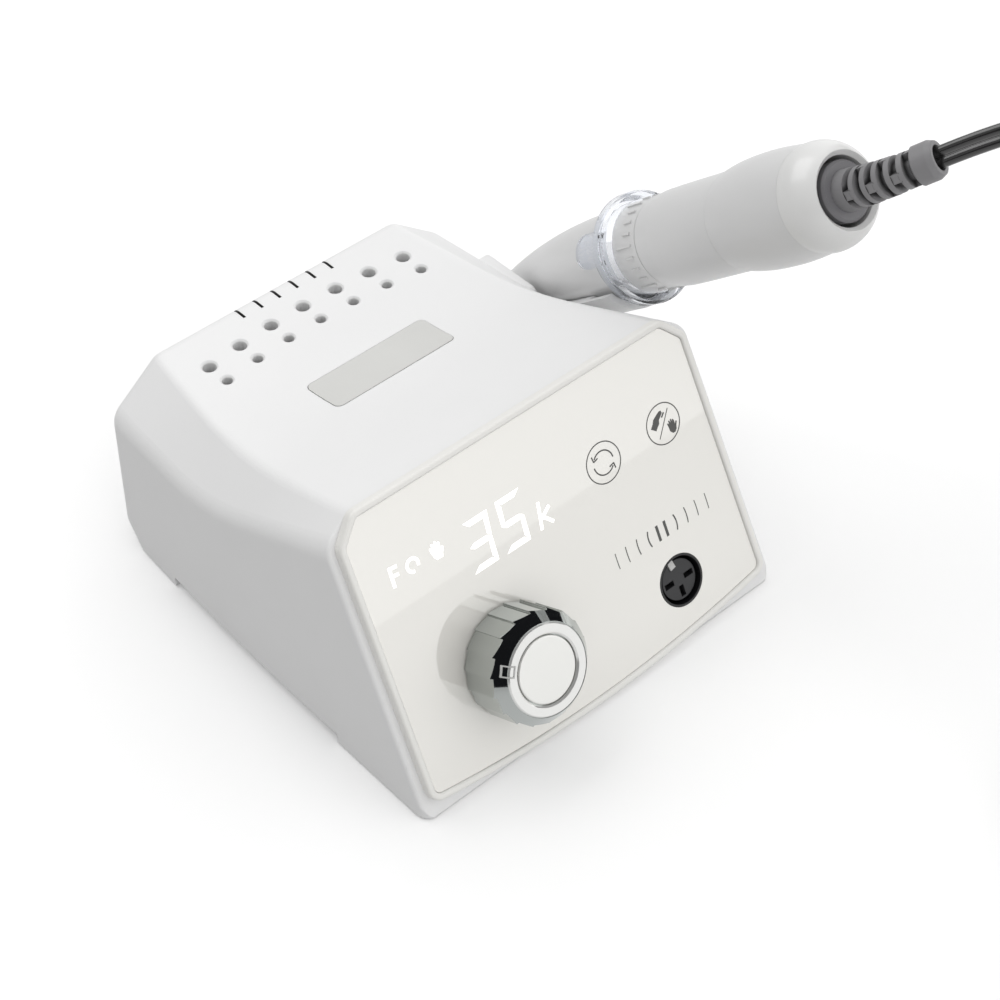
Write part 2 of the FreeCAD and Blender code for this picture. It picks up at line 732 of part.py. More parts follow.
def make_housing():
    """Upper shell, bezel, panel, badge plate and base plate."""
    outside = housing_solid(0.0)
    outside = rounded_rear(outside, mm("rear_edge_radius"))
    outside = outside.cut([front_cutter(mm("front_step")), rear_undercut_cutter()])
    outside = rounded_front(outside).cut(front_corner_cutters())
    cavity = housing_solid(mm("wall")).cut(front_cutter(mm("front_step") + mm("wall")))
    bosses = [
        Part.makeCylinder(mm("boss_radius"), BOSS_ROOF, Vector(x, y, base_level() + mm("base_thickness")))
        for x, y in BOSS_PLACES
    ]
    shell = outside.cut(cavity.cut(bosses + [vent_pad()]))
    cutters = vent_cutters() + rear_wall_cutters()
    below = 5.0
    under_feet = Vector(-WIDE, -WIDE / 2, -below)
    cutters.append(Part.makeBox(2 * WIDE, 2 * WIDE, below + mm("foot_gap"), under_feet))
    feet_free = mm("rear_foot_start") - mm("front_foot_end")
    side_gap = Vector(-WIDE, mm("front_foot_end"), -below)
    cutters.append(Part.makeBox(2 * WIDE, feet_free, below + mm("skirt_gap"), side_gap))
    rear_gap = Vector(-REAR_GAP_HALF, mm("rear_foot_start") - 1, -below)
    cutters.append(Part.makeBox(2 * REAR_GAP_HALF, 60, below + mm("skirt_gap"), rear_gap))
    opening = panel_prism(-mm("front_ledge"), -12, 1)
    seat = panel_prism(mm("seam"), -mm("panel_thickness"), 1)
    for x, y in BOSS_PLACES:
        cutters.append(Part.makeCylinder(mm("screw_radius"), BOSS_HOLE_TOP, Vector(x, y, 0)))
    lowered = outside.copy()
    lowered.translate(Vector(0, 0, -mm("badge_thickness")))
    badge_seat = badge_prism(mm("badge_gap")).cut(lowered)
    for y, z in BRACKET_SCREW_PLACES:
        cutters.append(Part.makeCylinder(mm("screw_radius"), 40, Vector(40, y, z), Vector(1, 0, 0)))
    shell = shell.cut(cutters + [opening, seat, badge_seat])
    formed("upper_shell", shell)

    raised = outside.copy()
    raised.translate(Vector(0, 0, mm("badge_proud")))
    formed("badge_plate", badge_prism(0.0).common(raised).cut(lowered))

    floor_solid = housing_solid(mm("wall") + mm("base_clearance"))
    floor_solid = floor_solid.cut(
        [front_cutter(mm("front_step") + mm("wall") + mm("base_clearance")), rear_undercut_cutter()]
    )
    slab_start = -60.0
    corner = Vector(-WIDE, slab_start, base_level())
    slab = Part.makeBox(2 * WIDE, BASE_PLATE_END - slab_start, mm("base_thickness"), corner)
    plate = floor_solid.common(slab)
    holes = [Part.makeCylinder(mm("screw_radius"), 9, Vector(x, y, 0)) for x, y in BOSS_PLACES]
    slots = [Part.makeBox(2.4, 30, 9, Vector(x, 48, 0)) for x in range(-28, 33, 8)]
    socket_room = Part.makeCylinder(mm("socket_radius") + 0.4, 30)
    socket_room.Placement = panel_place(mm("socket_x"), mm("socket_up"), -30)
    formed("base_plate", plate.cut(holes + slots + [socket_room]))

    outer = panel_prism(mm("bezel_width"), -mm("front_step"), mm("bezel_proud"))
    inner = panel_prism(mm("seam"), -mm("front_step") - 1, mm("bezel_proud") + 1)
    bead = outer.cut(inner)
    normal = panel_place().Rotation.multVec(Vector(0, 0, 1))
    crest = panel_place(out=mm("bezel_proud")).Base
    on_crest = [e for e in bead.Edges if all(abs((v.Point - crest).dot(normal)) < 1e-4 for v in e.Vertexes)]
    formed("panel_bezel", bead.makeFillet(BEZEL_ROUNDING, on_crest))
    return outside


def make_panel():
    """Flat glossy panel with holes for the shaft and the socket."""
    half = size("panel_half_width")
    sag = size("panel_sag")
    bow_radius = (half * half + sag * sag) / (sag * 2)
    shoulder, shoulder_half = size("panel_shoulder"), size("panel_shoulder_half")
    height, top_half = size("panel_height"), size("panel_top_half")
    corners = [
        (half, 0, bow_radius, 1),
        (shoulder_half, shoulder),
        (top_half, height),
        (0 - top_half, height),
        (0 - shoulder_half, shoulder),
        (0 - half, 0),
    ]
    place = panel_place(out=-mm("panel_thickness"))
    panel = padded_outline("front_panel", corners, size("panel_thickness"))
    DOC.recompute()
    upright = [
        f"Edge{number}"
        for number, edge in enumerate(panel.Shape.Edges, start=1)
        if abs(edge.BoundBox.ZLength - mm("panel_thickness")) < 1e-6
    ]
    pad = panel.Tip
    rounding = panel.newObject("PartDesign::Fillet", "front_panel_corners")
    rounding.Base = (pad, upright)
    bind(rounding, "Radius", size("panel_corner"))
    panel.Tip = rounding
    DOC.recompute()
    circle_pocket(panel, "shaft_hole", size("knob_x"), size("knob_up"), size("shaft_radius") + 0.6)
    circle_pocket(panel, "socket_hole", size("socket_x"), size("socket_up"), size("socket_radius") + 0.05)
    panel.Placement = place


def make_base_hardware():
    """Rubber feet and the screws that hold the base plate."""
    level = size("skirt_gap")
    pads = [rod(f"pad_{n}", (x, y, 0), size("pad_radius"), level) for n, (x, y) in enumerate(PAD_PLACES)]
    keep("rubber_feet", joined("rubber_feet", pads))
    screws = []
    for number, (x, y) in enumerate(BOSS_PLACES):
        head = rod(f"base_head_{number}", (x, y, level - 1.6), 2.8, 1.6)
        shank = rod(f"base_shank_{number}", (x, y, level - 0.1), size("screw_radius"), 10)
        screws.append(joined(f"base_screw_{number}", [head, shank]))
    keep("base_screws", joined("base_screws", screws))


# Front group: what sits on and behind the panel

FRONT_BOARD_LOW = 11.6
SMALL_SCREW_RADIUS = 1.2
FRONT_BOARD_AREA = {"left": -52.0, "width": 104.0, "low": 4.0, "height": 68.0}
SPACER_PLACES = ((-49.0, 8.0), (49.0, 8.0), (-49.0, 68.0), (49.0, 68.0))
DISPLAY_AREA = {"left": -53.0, "width": 58.0, "low": 49.0, "height": 16.0}


def make_front_board():
    """Board behind the panel, its spacers, the digit module and the touch pads."""
    thickness = size("board_thickness")
    area = FRONT_BOARD_AREA
    corner = (area["left"], area["low"], 0)
    board = block("front_board_blank", corner, (area["width"], area["height"], thickness))
    neck = rod("front_board_neck", (size("knob_x"), size("knob_up"), -1), 3.6, 6)
    socket = rod("front_board_socket", (size("socket_x"), size("socket_up"), -1), size("socket_radius"), 6)
    holes = [rod(f"spacer_hole_{n}", (x, y, -1), 1.3, 6) for n, (x, y) in enumerate(SPACER_PLACES)]
    board_place = panel_place(out=-FRONT_BOARD_LOW)
    keep("front_board", cut("front_board", board, [neck, socket] + holes), board_place)

    ledge_back = mm("front_step") + mm("wall")
    board_face = FRONT_BOARD_LOW - mm("board_thickness")
    spacers = []
    for number, (x, y) in enumerate(SPACER_PLACES):
        pillar = rod(f"spacer_{number}", (x, y, 0), 2.6, board_face - ledge_back)
        bore = rod(f"spacer_bore_{number}", (x, y, -1), SMALL_SCREW_RADIUS, 20)
        spacers.append(cut(f"spacer_tube_{number}", pillar, [bore]))
    keep("front_spacers", joined("front_spacers", spacers), panel_place(out=-board_face))
    pins = [
        rod(f"board_pin_{n}", (x, y, 0), SMALL_SCREW_RADIUS, 4.4) for n, (x, y) in enumerate(SPACER_PLACES)
    ]
    heads = [rod(f"board_pin_head_{n}", (x, y, 0), 2.3, 1.2) for n, (x, y) in enumerate(SPACER_PLACES)]
    screws_place = panel_place(out=-FRONT_BOARD_LOW - 1.2)
    keep("front_board_screws", joined("front_board_screws", pins + heads), screws_place)

    area = DISPLAY_AREA
    right, high = area["left"] + area["width"], area["low"] + area["height"]
    gap = FRONT_BOARD_LOW - size("board_thickness") - size("panel_thickness")
    outline = [(area["left"], area["low"]), (right, area["low"]), (right, high), (area["left"], high)]
    padded_outline("display_module", outline, gap - 0.1, panel_place(out=-board_face))
    pads = []
    for number, x in enumerate((23.0, 46.3)):
        pads.append(rod(f"touch_pad_{number}", (x, 57.2, 0), 6.0, gap - 0.1))
    keep("touch_sensor_pads", joined("touch_sensor_pads", pads), panel_place(out=-board_face))


FACETS = 18
KNOB_FACE_RECESS = 2.6
INDEX_ANGLE = 151.0


def make_knob():
    """Speed control: body, nut and turning shaft, with the faceted knob on it."""
    at = (mm("knob_x"), mm("knob_up"))
    shaft = size("shaft_radius")
    board_back = FRONT_BOARD_LOW
    body_depth = 9.0
    neck_top = 5.4
    neck = 3.5
    bore = shaft + size("running_gap")
    body_corners = [
        (bore, 1.6), (8.2, 1.6), (8.2, 1.6 + body_depth), (neck, 1.6 + body_depth),
        (neck, 1.6 + body_depth + neck_top), (bore, 1.6 + body_depth + neck_top),
    ]
    body_foot = -board_back - body_depth - 1.6
    turned("speed_potentiometer", body_corners, panel_place(*at, body_foot))
    nut_low = -board_back + mm("board_thickness")
    turned("potentiometer_nut", ring_corners(neck, 5.6, 0, 2.0), panel_place(*at, nut_low))

    gap = mm("knob_gap")
    shaft_top = gap + 10.0
    shaft_foot = body_foot + 2.0
    turned("knob_shaft", disc_corners(shaft, 0, shaft_top - shaft_foot), panel_place(*at, shaft_foot))

    radius, face = size("knob_radius"), size("knob_face_radius")
    height, bevel = size("knob_height"), size("knob_bevel")
    recess = KNOB_FACE_RECESS
    corners = [
        (shaft, 0), (radius, 0), (radius, height - bevel), (face + 0.1, height - 0.3), (face, height - 0.3),
        (face, height - recess), (0, height - recess), (0, 10.0), (shaft, 10.0),
    ]
    knob = turned("speed_knob", corners, panel_place(*at, gap))
    DOC.recompute()
    angle = math.radians(360 / FACETS)
    beyond, crest = radius + 4, radius + 0.05
    corners = [
        (radius - size("knob_step"), 0),
        (beyond, 0),
        (beyond * math.cos(angle), beyond * math.sin(angle)),
        (crest * math.cos(angle), crest * math.sin(angle)),
    ]
    sketch = outline_sketch(knob, "XY_Plane", "facet_outline", corners)
    facet = knob.newObject("PartDesign::Pocket", "facet")
    facet.Profile = sketch
    facet.Type = "ThroughAll"
    facet.Midplane = True
    knob.Tip = facet
    DOC.recompute()
    pattern = knob.newObject("PartDesign::PolarPattern", "facets")
    pattern.Originals = [facet]
    pattern.Axis = (sketch, ["N_Axis"])
    pattern.Angle = 360
    pattern.Occurrences = FACETS
    knob.Tip = pattern
    DOC.recompute()

    ring_low = mm("knob_height") - recess
    ring_place = panel_place(*at, gap + ring_low)
    inner = size("knob_ring_inner")
    ring = [
        (inner, 0), (face - 0.02, 0), (face - 0.02, recess - 0.5), (face - 0.5, recess),
        (inner + 0.5, recess), (inner, recess - 0.5),
    ]
    turned("knob_front_ring", ring, ring_place)
    cap = size("knob_cap_radius")
    cap_rim, cap_rounding = recess - 0.8, 0.45
    cap_corners = [
        (0, 0), (cap, 0), (cap, cap_rim), (cap - cap_rounding, cap_rim + cap_rounding, dim(cap_rounding), 1),
        (0, cap_rim + cap_rounding),
    ]
    turned("knob_cap", cap_corners, ring_place)
    make_index_mark(panel_place(*at, gap))


def make_index_mark(place):
    """Small frame over the knob's bevel and ring, which shows how far the knob is turned."""
    radius, face, top = mm("knob_radius"), mm("knob_face_radius"), mm("knob_height")
    proud, line, side = 0.15, 0.42, 3.4
    inner, outer = face - 2.1, face + 1.5
    surface = [
        Vector(radius, 0, top - mm("knob_bevel")), Vector(face + 0.1, 0, top - 0.3),
        Vector(face, 0, top - 0.3), Vector(face - 0.5, 0, top), Vector(inner - 1, 0, top),
    ]
    raised = [point + Vector(0, 0, proud) for point in reversed(surface)]
    outline = Part.makePolygon(surface + raised + surface[:1])
    skin = Part.Face(outline).revolve(Vector(), Vector(0, 0, 1), 360)
    long, tall = outer - inner, 2 * top
    frame = Part.makeBox(long, side, tall, Vector(inner, -side / 2, 0))
    window_corner = Vector(inner + line, line - side / 2, 0)
    frame = frame.cut(Part.makeBox(long - 2 * line, side - 2 * line, tall, window_corner))
    frame.Placement = Placement(Vector(), Rotation(Vector(0, 0, 1), INDEX_ANGLE)).multiply(frame.Placement)
    formed("knob_index_mark", frame.common(skin), place)


CONTACT_WAYS = (180.0, 270.0, 360.0)
CONTACT_FOOT = 1.0
PIN_RADIUS = 0.72
PIN_PLAY = 0.06
KEY_WAY = 13.0
KEY_TAB = {"width": 2.0, "inner": 4.3, "below": 6.4, "sunk": 0.6, "gap": 0.1}


def make_socket():
    """Three-pole round socket: cup, insert with the slotted contacts, and key tab."""
    depth, well = 13.0, 9.5
    sunk, contact_sunk = 1.1, 3.5
    place = panel_place(mm("socket_x"), mm("socket_up"), -depth)
    bore, core = size("socket_bore"), size("socket_core")
    cup = rod("socket_cup", (0, 0, 0), size("socket_radius"), depth)
    hollow = rod("socket_hollow", (0, 0, depth - well), bore, well + 1)
    keep("din_socket_body", cut("din_socket_body", cup, [hollow]), place)

    insert = rod("socket_insert", (0, 0, depth - well), core, well - sunk)
    circle = size("contact_circle")
    long, wide = size("contact_length"), size("contact_width")
    corner = Vector(circle.value - long.value / 2, -wide.value / 2, depth - well)
    slots, contacts = [], []
    for way in CONTACT_WAYS:
        turn = Rotation(Vector(0, 0, 1), way)
        at = Placement(turn.multVec(corner), turn)
        slots.append(turned_block(f"contact_slot_{way:.0f}", (long, wide, well), at))
        leaves = turned_block(f"contact_leaves_{way:.0f}", (long, wide, well - contact_sunk), at)
        middle = turn.multVec(Vector(circle.value, 0, depth - well + CONTACT_FOOT))
        pin_room = rod(f"contact_room_{way:.0f}", tuple(middle), PIN_RADIUS + PIN_PLAY, well)
        contacts.append(cut(f"contact_{way:.0f}", leaves, [pin_room]))
    keep("din_socket_contacts", joined("din_socket_contacts", contacts), place)

    key_turn = Rotation(Vector(0, 0, 1), KEY_WAY)
    width, gap = KEY_TAB["width"], KEY_TAB["gap"]
    foot, tall = depth - KEY_TAB["below"], KEY_TAB["below"] - KEY_TAB["sunk"]
    corner = Vector(-width / 2 - gap, KEY_TAB["inner"] - gap, foot - gap)
    seat_place = Placement(key_turn.multVec(corner), key_turn)
    seat = turned_block("socket_key_seat", (width + 2 * gap, bore, tall + gap), seat_place)
    keep("din_socket_insert", cut("din_socket_insert", insert, slots + [seat]), place)
    tab = Part.makeBox(width, bore.value, tall, Vector(-width / 2, KEY_TAB["inner"], foot))
    tab.Placement = Placement(Vector(), key_turn).multiply(tab.Placement)
    formed("din_socket_key", tab.common(Part.makeCylinder(bore.value, depth)), place)


# Inside the control unit

BOARD_LOW = 12.0
BOARD_AREA = {"left": -8.0, "width": 60.0, "near": 36.0, "depth": 80.0}
STANDOFF_PLACES = ((-4.0, 40.0), (48.0, 40.0), (-4.0, 112.0), (48.0, 112.0))
CORE = {"left": -53.0, "width": 38.0, "near": 62.0, "depth": 48.0, "height": 40.0}


def make_main_board():
    """Power and motor control board on four pillars, with its tallest parts."""
    floor = size("skirt_gap") + size("base_thickness")
    thickness = size("board_thickness")
    area = BOARD_AREA
    blank = block(
        "main_board_blank", (area["left"], area["near"], BOARD_LOW), (area["width"], area["depth"], thickness)
    )
    holes = [rod(f"main_hole_{n}", (x, y, BOARD_LOW - 1), 1.3, 5) for n, (x, y) in enumerate(STANDOFF_PLACES)]
    keep("main_board", cut("main_board", blank, holes))
    pillars = []
    for number, (x, y) in enumerate(STANDOFF_PLACES):
        pillars.append(rod(f"pillar_{number}", (x, y, floor), 3.0, BOARD_LOW - floor))
    keep("main_spacers", joined("main_spacers", pillars))
    grouped("board_standoffs", ["front_spacers", "main_spacers"])
    top = BOARD_LOW + thickness
    screws = []
    for number, (x, y) in enumerate(STANDOFF_PLACES):
        head = rod(f"main_head_{number}", (x, y, top), 2.6, 1.6)
        shank = rod(f"main_shank_{number}", (x, y, top - 1.5), 1.25, 2.0)
        screws.append(joined(f"main_screw_{number}", [head, shank]))
    keep("main_board_screws", joined("main_board_screws", screws))

    plate = block("sink_plate", (2, 98, top), (36, 3, 28))
    fins = [block(f"sink_fin_{n}", (2 + 5.5 * n, 101, top), (1.5, 12, 28)) for n in range(7)]
    keep("heat_sink", joined("heat_sink", [plate] + fins))
    cans = [rod(f"can_{n}", (12 + 22 * n, 62, top), 8.0, 30) for n in range(2)]
    keep("capacitors", joined("capacitors", cans))
    chip = block("chip", (14, 82, top), (14, 8, 4))
    relay = block("relay", (32, 78, top), (16, 12, 15))
    keep("board_components", joined("board_components", [chip, relay]))


def make_transformer():
    """Mains transformer: laminated core with two windows, and the winding through them."""
    floor = mm("skirt_gap") + mm("base_thickness")
    left, near, height = CORE["left"], CORE["near"], CORE["height"]
    width, depth = CORE["width"], CORE["depth"]
    limb = depth / 6
    foot_thickness = 2.0
    base = floor + foot_thickness
    floor_size = size("skirt_gap") + size("base_thickness")
    blank = block("core_blank", (left, near, floor_size + foot_thickness), (width, depth, height))
    windows = []
    for number in range(2):
        y = near + limb + number * 3 * limb
        corner = (left - 1, y, base + limb)
        windows.append(block(f"core_window_{number}", corner, (width + 2, limb, height - 2 * limb)))
    core = cut("core_cut", blank, windows)
    foot = block("core_foot", (left, near - 8, floor_size), (width, depth + 16, foot_thickness))
    holes = [
        rod(f"core_hole_{n}", (left + width / 2, y, floor - 1), 1.8, 5)
        for n, y in enumerate((near - 4, near + depth + 4))
    ]
    keep("transformer_core", cut("transformer_core", joined("core_joined", [core, foot]), holes))
    swell = 5.0
    gap = 0.3
    low = base + limb + gap
    outer = block(
        "winding_outer", (left - swell, near + limb + gap, low),
        (width + 2 * swell, depth - 2 * limb - 2 * gap, height - 2 * limb - 2 * gap),
    )
    middle = block(
        "winding_hole", (left - gap, near + 2 * limb - gap, low - 1),
        (width + 2 * gap, 2 * limb + 2 * gap, height),
    )
    keep("transformer_winding", cut("transformer_winding", outer, [middle]))
    screws = []
    for number, y in enumerate((near - 4, near + depth + 4)):
        head = rod(f"core_head_{number}", (left + width / 2, y, base), 3.2, 2.0)
        shank = rod(f"core_shank_{number}", (left + width / 2, y, floor), 1.7, 2.1)
        screws.append(joined(f"core_screw_{number}", [head, shank]))
    keep("transformer_screws", joined("transformer_screws", screws))
    grouped("inside_screws", ["front_board_screws", "main_board_screws", "transformer_screws"])


def make_rear_fittings():
    """Mains inlet, mains switch and pedal jack in the rear wall."""
    inlet = rear_place(INLET["x"], INLET["height"])
    half, tall = INLET["half_width"], INLET["half_height"]
    flange = block("inlet_flange", (-half - 2, -tall - 2, 0), (2 * half + 4, 2 * tall + 4, 1.8))
    trunk = block("inlet_trunk", (-half, -tall, -19), (2 * half, 2 * tall, 19))
    well = block("inlet_well", (-half + 1.4, -tall + 1.6, -15), (2 * half - 2.8, 2 * tall - 3.2, 20))
    keep("mains_inlet", cut("mains_inlet", joined("inlet_solid", [flange, trunk]), [well]), inlet)
    pins = []
    for number, (x, y) in enumerate(((-7.0, -5.0), (7.0, -5.0), (0.0, 1.0))):
        pins.append(block(f"inlet_pin_{number}", (x - 1, y, -15.0), (2.0, 4.0, 12.5)))
    keep("inlet_pins", joined("inlet_pins", pins), inlet)

    place = rear_place(SWITCH["x"], SWITCH["height"])
    half, tall = SWITCH["half_width"], SWITCH["half_height"]
    frame = block("switch_flange", (-half - 1.5, -tall - 1.5, 0), (2 * half + 3, 2 * tall + 3, 1.8))
    trunk = block("switch_trunk", (-half, -tall, -14), (2 * half, 2 * tall, 14))
    half, tall = half - SWITCH_WALL, tall - SWITCH_WALL
    hollow = block("switch_hollow", (-half, -tall, -8), (2 * half, 2 * tall, 12))
    keep("switch_frame", cut("switch_frame", joined("switch_solid", [frame, trunk]), [hollow]), place)
    make_rocker(place, half, tall)

    outer, bore = JACK["radius"], JACK["bore"]
    shoulder = 22.4 - mm("wall") - REAR_FIT * 2
    jack = [
        (0, 0), (7.0, 0), (7.0, shoulder), (outer, shoulder), (outer, 28), (bore, 28), (bore, 6), (0, 6),
    ]
    turned("pedal_jack", jack, rear_place(JACK["x"], JACK["height"], -22.4))
    turned("pedal_jack_nut", ring_corners(outer, 6.6, 0, 2.2), rear_place(JACK["x"], JACK["height"]))
    grouped("panel_nuts", ["potentiometer_nut", "pedal_jack_nut"])


def make_rocker(place, wall_half, wall_tall):
    """Rocker of the mains switch on its pin, in the frame's hollow: two wings that meet in a ridge."""
    half, tall = wall_half - ROCKER_PLAY, wall_tall - ROCKER_PLAY
    outline = [(-half, 1.6), (0, 3.0), (half, 1.6), (half, -0.6), (0, -4.0), (-half, -0.6)]
    points = [Vector(x, -tall, z) for x, z in outline]
    rocker = Part.Face(Part.makePolygon(points + points[:1])).extrude(Vector(0, 2 * tall, 0))
    rocker.rotate(Vector(), Vector(0, 1, 0), ROCKER_TILT)
    pin_radius = 1.0
    upward = Vector(0, 1, 0)
    bore = Part.makeCylinder(pin_radius + mm("running_gap"), 40, Vector(0, -20, 0), upward)
    pivot = place.multiply(Placement(Vector(0, 0, ROCKER_PIVOT_DEPTH), Rotation()))
    formed("power_rocker", rocker.cut(bore), pivot)
    pin = Part.makeCylinder(pin_radius, 2 * wall_tall, Vector(0, -wall_tall, 0), upward)
    formed("switch_pin", pin, pivot)


# Handpiece


MOTOR_INSET = 0.4
COLLAR_TWIST = 60.0


def cone_arc_radius():
    """Radius of the cone's long curved side, which runs straight into the collar."""
    rise = size("cone_radius") - size("cone_small_radius")
    run = size("cone_length") - size("tip_length")
    return (rise * rise + run * run) / (rise * 2)


def make_nose(place):
    """Nose cone with its rear spigot, collar at its tip, and the twist collar on the spigot."""
    tip, tip_end = size("tip_radius"), size("tip_length")
    small, full = size("cone_small_radius"), size("cone_radius")
    end, front = size("cone_length"), size("collar_front")
    arc = cone_arc_radius()
    mouth = 3.4
    seat, seat_start, seat_end = size("bearing_radius"), 11.0, 27.5
    guide, guide_end = 6.55, 46.0
    spigot, spigot_bore = 11.2, 10.2
    spigot_end = size("sleeve_front") + MOTOR_INSET
    turned("nose_tip_ring", [
        (mouth - 0.6, 0), (tip - 0.5, 0), (tip, 0.5), (tip, 1.6), (tip - 0.25, 1.75), (tip, 1.9),
        (tip, tip_end), (mouth - 0.6, tip_end),
    ], place)
    turned("cone_blank", [
        (mouth, tip_end), (small, tip_end), (full, end, arc, 1), (full, front - 0.3), (spigot, front - 0.3),
        (spigot, spigot_end), (spigot_bore, spigot_end), (spigot_bore, guide_end), (guide, guide_end),
        (guide, seat_end), (seat, seat_end), (seat, seat_start), (mouth, seat_start),
    ])
    key_low, key_height, key_width = mm("collar_front") + 5.5, 3.0, 4.0
    key_reach = 7.2
    collar_bore = spigot + 0.1
    play = math.degrees(key_width / 2 / spigot) + 3
    windows = []
    for number in range(2):
        window = rod(f"window_{number}", (0, 0, key_low - 0.5), spigot + 1, key_height + 1)
        window.Angle = COLLAR_TWIST + 2 * play
        window_turn = Rotation(Vector(0, 0, 1), 180 * number - play)
        window.Placement = Placement(Vector(0, 0, key_low - 0.5), window_turn)
        windows.append(window)
    keep("nose_cone", cut("nose_cone", PARTS.pop("cone_blank"), windows), place)

    radius, rear = size("collar_radius"), size("collar_rear")
    turned("collar_blank", [
        (collar_bore, front), (radius - 0.35, front), (radius, front + 0.6), (radius - 0.2, rear),
        (collar_bore, rear),
    ])
    bars = []
    count = 24
    for step in range(count):
        length = 6.6 if step % 4 == 0 else 3.2
        start = rear - 1.9 - length
        turn = Rotation(Vector(0, 0, 1), 360 / count * (step + 0.5))
        foot = turn.multVec(Vector(-0.375, mm("collar_radius") - 0.62, start.value))
        bars.append(turned_block(f"collar_bar_{step}", (0.75, 1.0, length), Placement(foot, turn)))
    for number in range(2):
        turn = Rotation(Vector(0, 0, 1), 180 * number)
        foot = turn.multVec(Vector(key_reach, -key_width / 2, key_low))
        lengths = (collar_bore + 0.5 - key_reach, key_width, key_height)
        bars.append(turned_block(f"collar_key_{number}", lengths, Placement(foot, turn)))
    keep("twist_collar", joined("twist_collar", [PARTS.pop("collar_blank")] + bars), place)


def make_guard_ring(place):
    """Clear ring round the joint of cone and collar, with three tabs that lie on the cone."""
    inner = mm("collar_radius") + 0.35
    outer = mm("ring_radius")
    low = mm("ring_front")
    length = mm("ring_length")
    grip = mm("cone_radius")
    profile = [
        Vector(grip, 0, low - 2.4), Vector(grip + 1.5, 0, low - 2.4), Vector(outer - 1.0, 0, low),
        Vector(outer, 0, low + 1.2), Vector(outer, 0, low + length - 1.4),
        Vector(outer - 0.8, 0, low + length),
        Vector(inner, 0, low + length), Vector(inner, 0, low + 0.9), Vector(grip, 0, low + 0.4),
    ]
    face = Part.Face(Part.makePolygon(profile + profile[:1]))
    ring = face.revolve(Vector(), Vector(0, 0, 1), 360)
    reach = 9.5
    half = 5.2
    arc = cone_arc_radius().value
    tab_low = low - 2.0 - reach
    skin = 1.3
    centre_r = mm("cone_radius") - arc
    outer_skin = shaft_of_arc(centre_r, mm("cone_length"), arc + skin, tab_low - 1, low)
    inner_skin = shaft_of_arc(centre_r, mm("cone_length"), arc, tab_low - 2, low + 1)
    tabs = []
    for angle in (60, 180, 300):
        plan = Part.makeBox(2 * half, 40, reach + 2.5, Vector(-half, 0, tab_low))
        ends = [e for e in plan.Edges if e.BoundBox.YLength > 39 and e.BoundBox.ZMax < tab_low + 0.1]
        plan = plan.makeFillet(half - 0.6, ends)
        tab = plan.common(outer_skin).cut(inner_skin)
        tab.rotate(Vector(), Vector(0, 0, 1), angle)
        tabs.append(tab)
    formed("guard_ring", ring.fuse(tabs).removeSplitter(), place)


def shaft_of_arc(centre_radius, centre_height, radius, low, high):
    """Solid of revolution whose side is an arc with this centre and radius, flat past the centre."""
    def side(height):
        drop = min(0.0, height - centre_height)
        return centre_radius + math.sqrt(radius * radius - drop * drop)

    turn = min(high, centre_height)
    start = Vector(side(low), 0, low)
    middle = Vector(side((low + turn) / 2), 0, (low + turn) / 2)
    end = Vector(side(turn), 0, turn)
    edges = [Part.LineSegment(Vector(0, 0, low), start).toShape(), Part.Arc(start, middle, end).toShape()]
    if high > turn:
        top = Vector(side(turn), 0, high)
        edges.append(Part.LineSegment(end, top).toShape())
        end = top
    edges.append(Part.LineSegment(end, Vector(0, 0, high)).toShape())
    edges.append(Part.LineSegment(Vector(0, 0, high), Vector(0, 0, low)).toShape())
    return Part.Face(Part.Wire(edges)).revolve(Vector(), Vector(0, 0, 1), 360)


def make_chuck(place):
    """Turning chuck on its two bearings, and the sleeve that opens it."""
    bore, depth = size("shank_bore"), size("shank_depth")
    neck, body = size("rotor_shaft_radius"), size("chuck_radius")
    front = 1.4
    turned("chuck_spindle", [
        (bore, front), (body - 0.5, front), (body, front + 0.8), (body, 30), (neck, 30), (neck, ROTOR_START),
        (0, ROTOR_START), (0, front + depth), (bore, front + depth),
    ], place)
    inside, outside = body + size("running_gap"), size("bearing_radius")
    turned("front_bearing", ring_corners(inside, outside, 11.4, 15.4), place)
    turned("middle_bearing", ring_corners(inside, outside, 22.5, 26.5), place)
    grouped("chuck_bearings", ["front_bearing", "middle_bearing"])
    start = 31.0
    inside, outside, rim = neck + 0.4, 6.5, 9.4
    flange = size("collar_front") - 1.6
    turned("release_sleeve", [
        (inside, start), (outside, start), (outside, flange), (rim, flange), (rim, flange + 1.6),
        (outside, flange + 1.6), (outside, flange + 9), (inside, flange + 9),
    ], place)


ROTOR_START = 92.0
MAGNET_START = 94.0
MAGNET_END = 118.0
STACK_RADIUS = 8.0
AIR_GAP = 0.6
COMMUTATOR_RADIUS = 3.6
BRUSH = {"length": 5.0, "width": 4.0, "height": 5.0, "play": 0.1, "gap": 0.06}


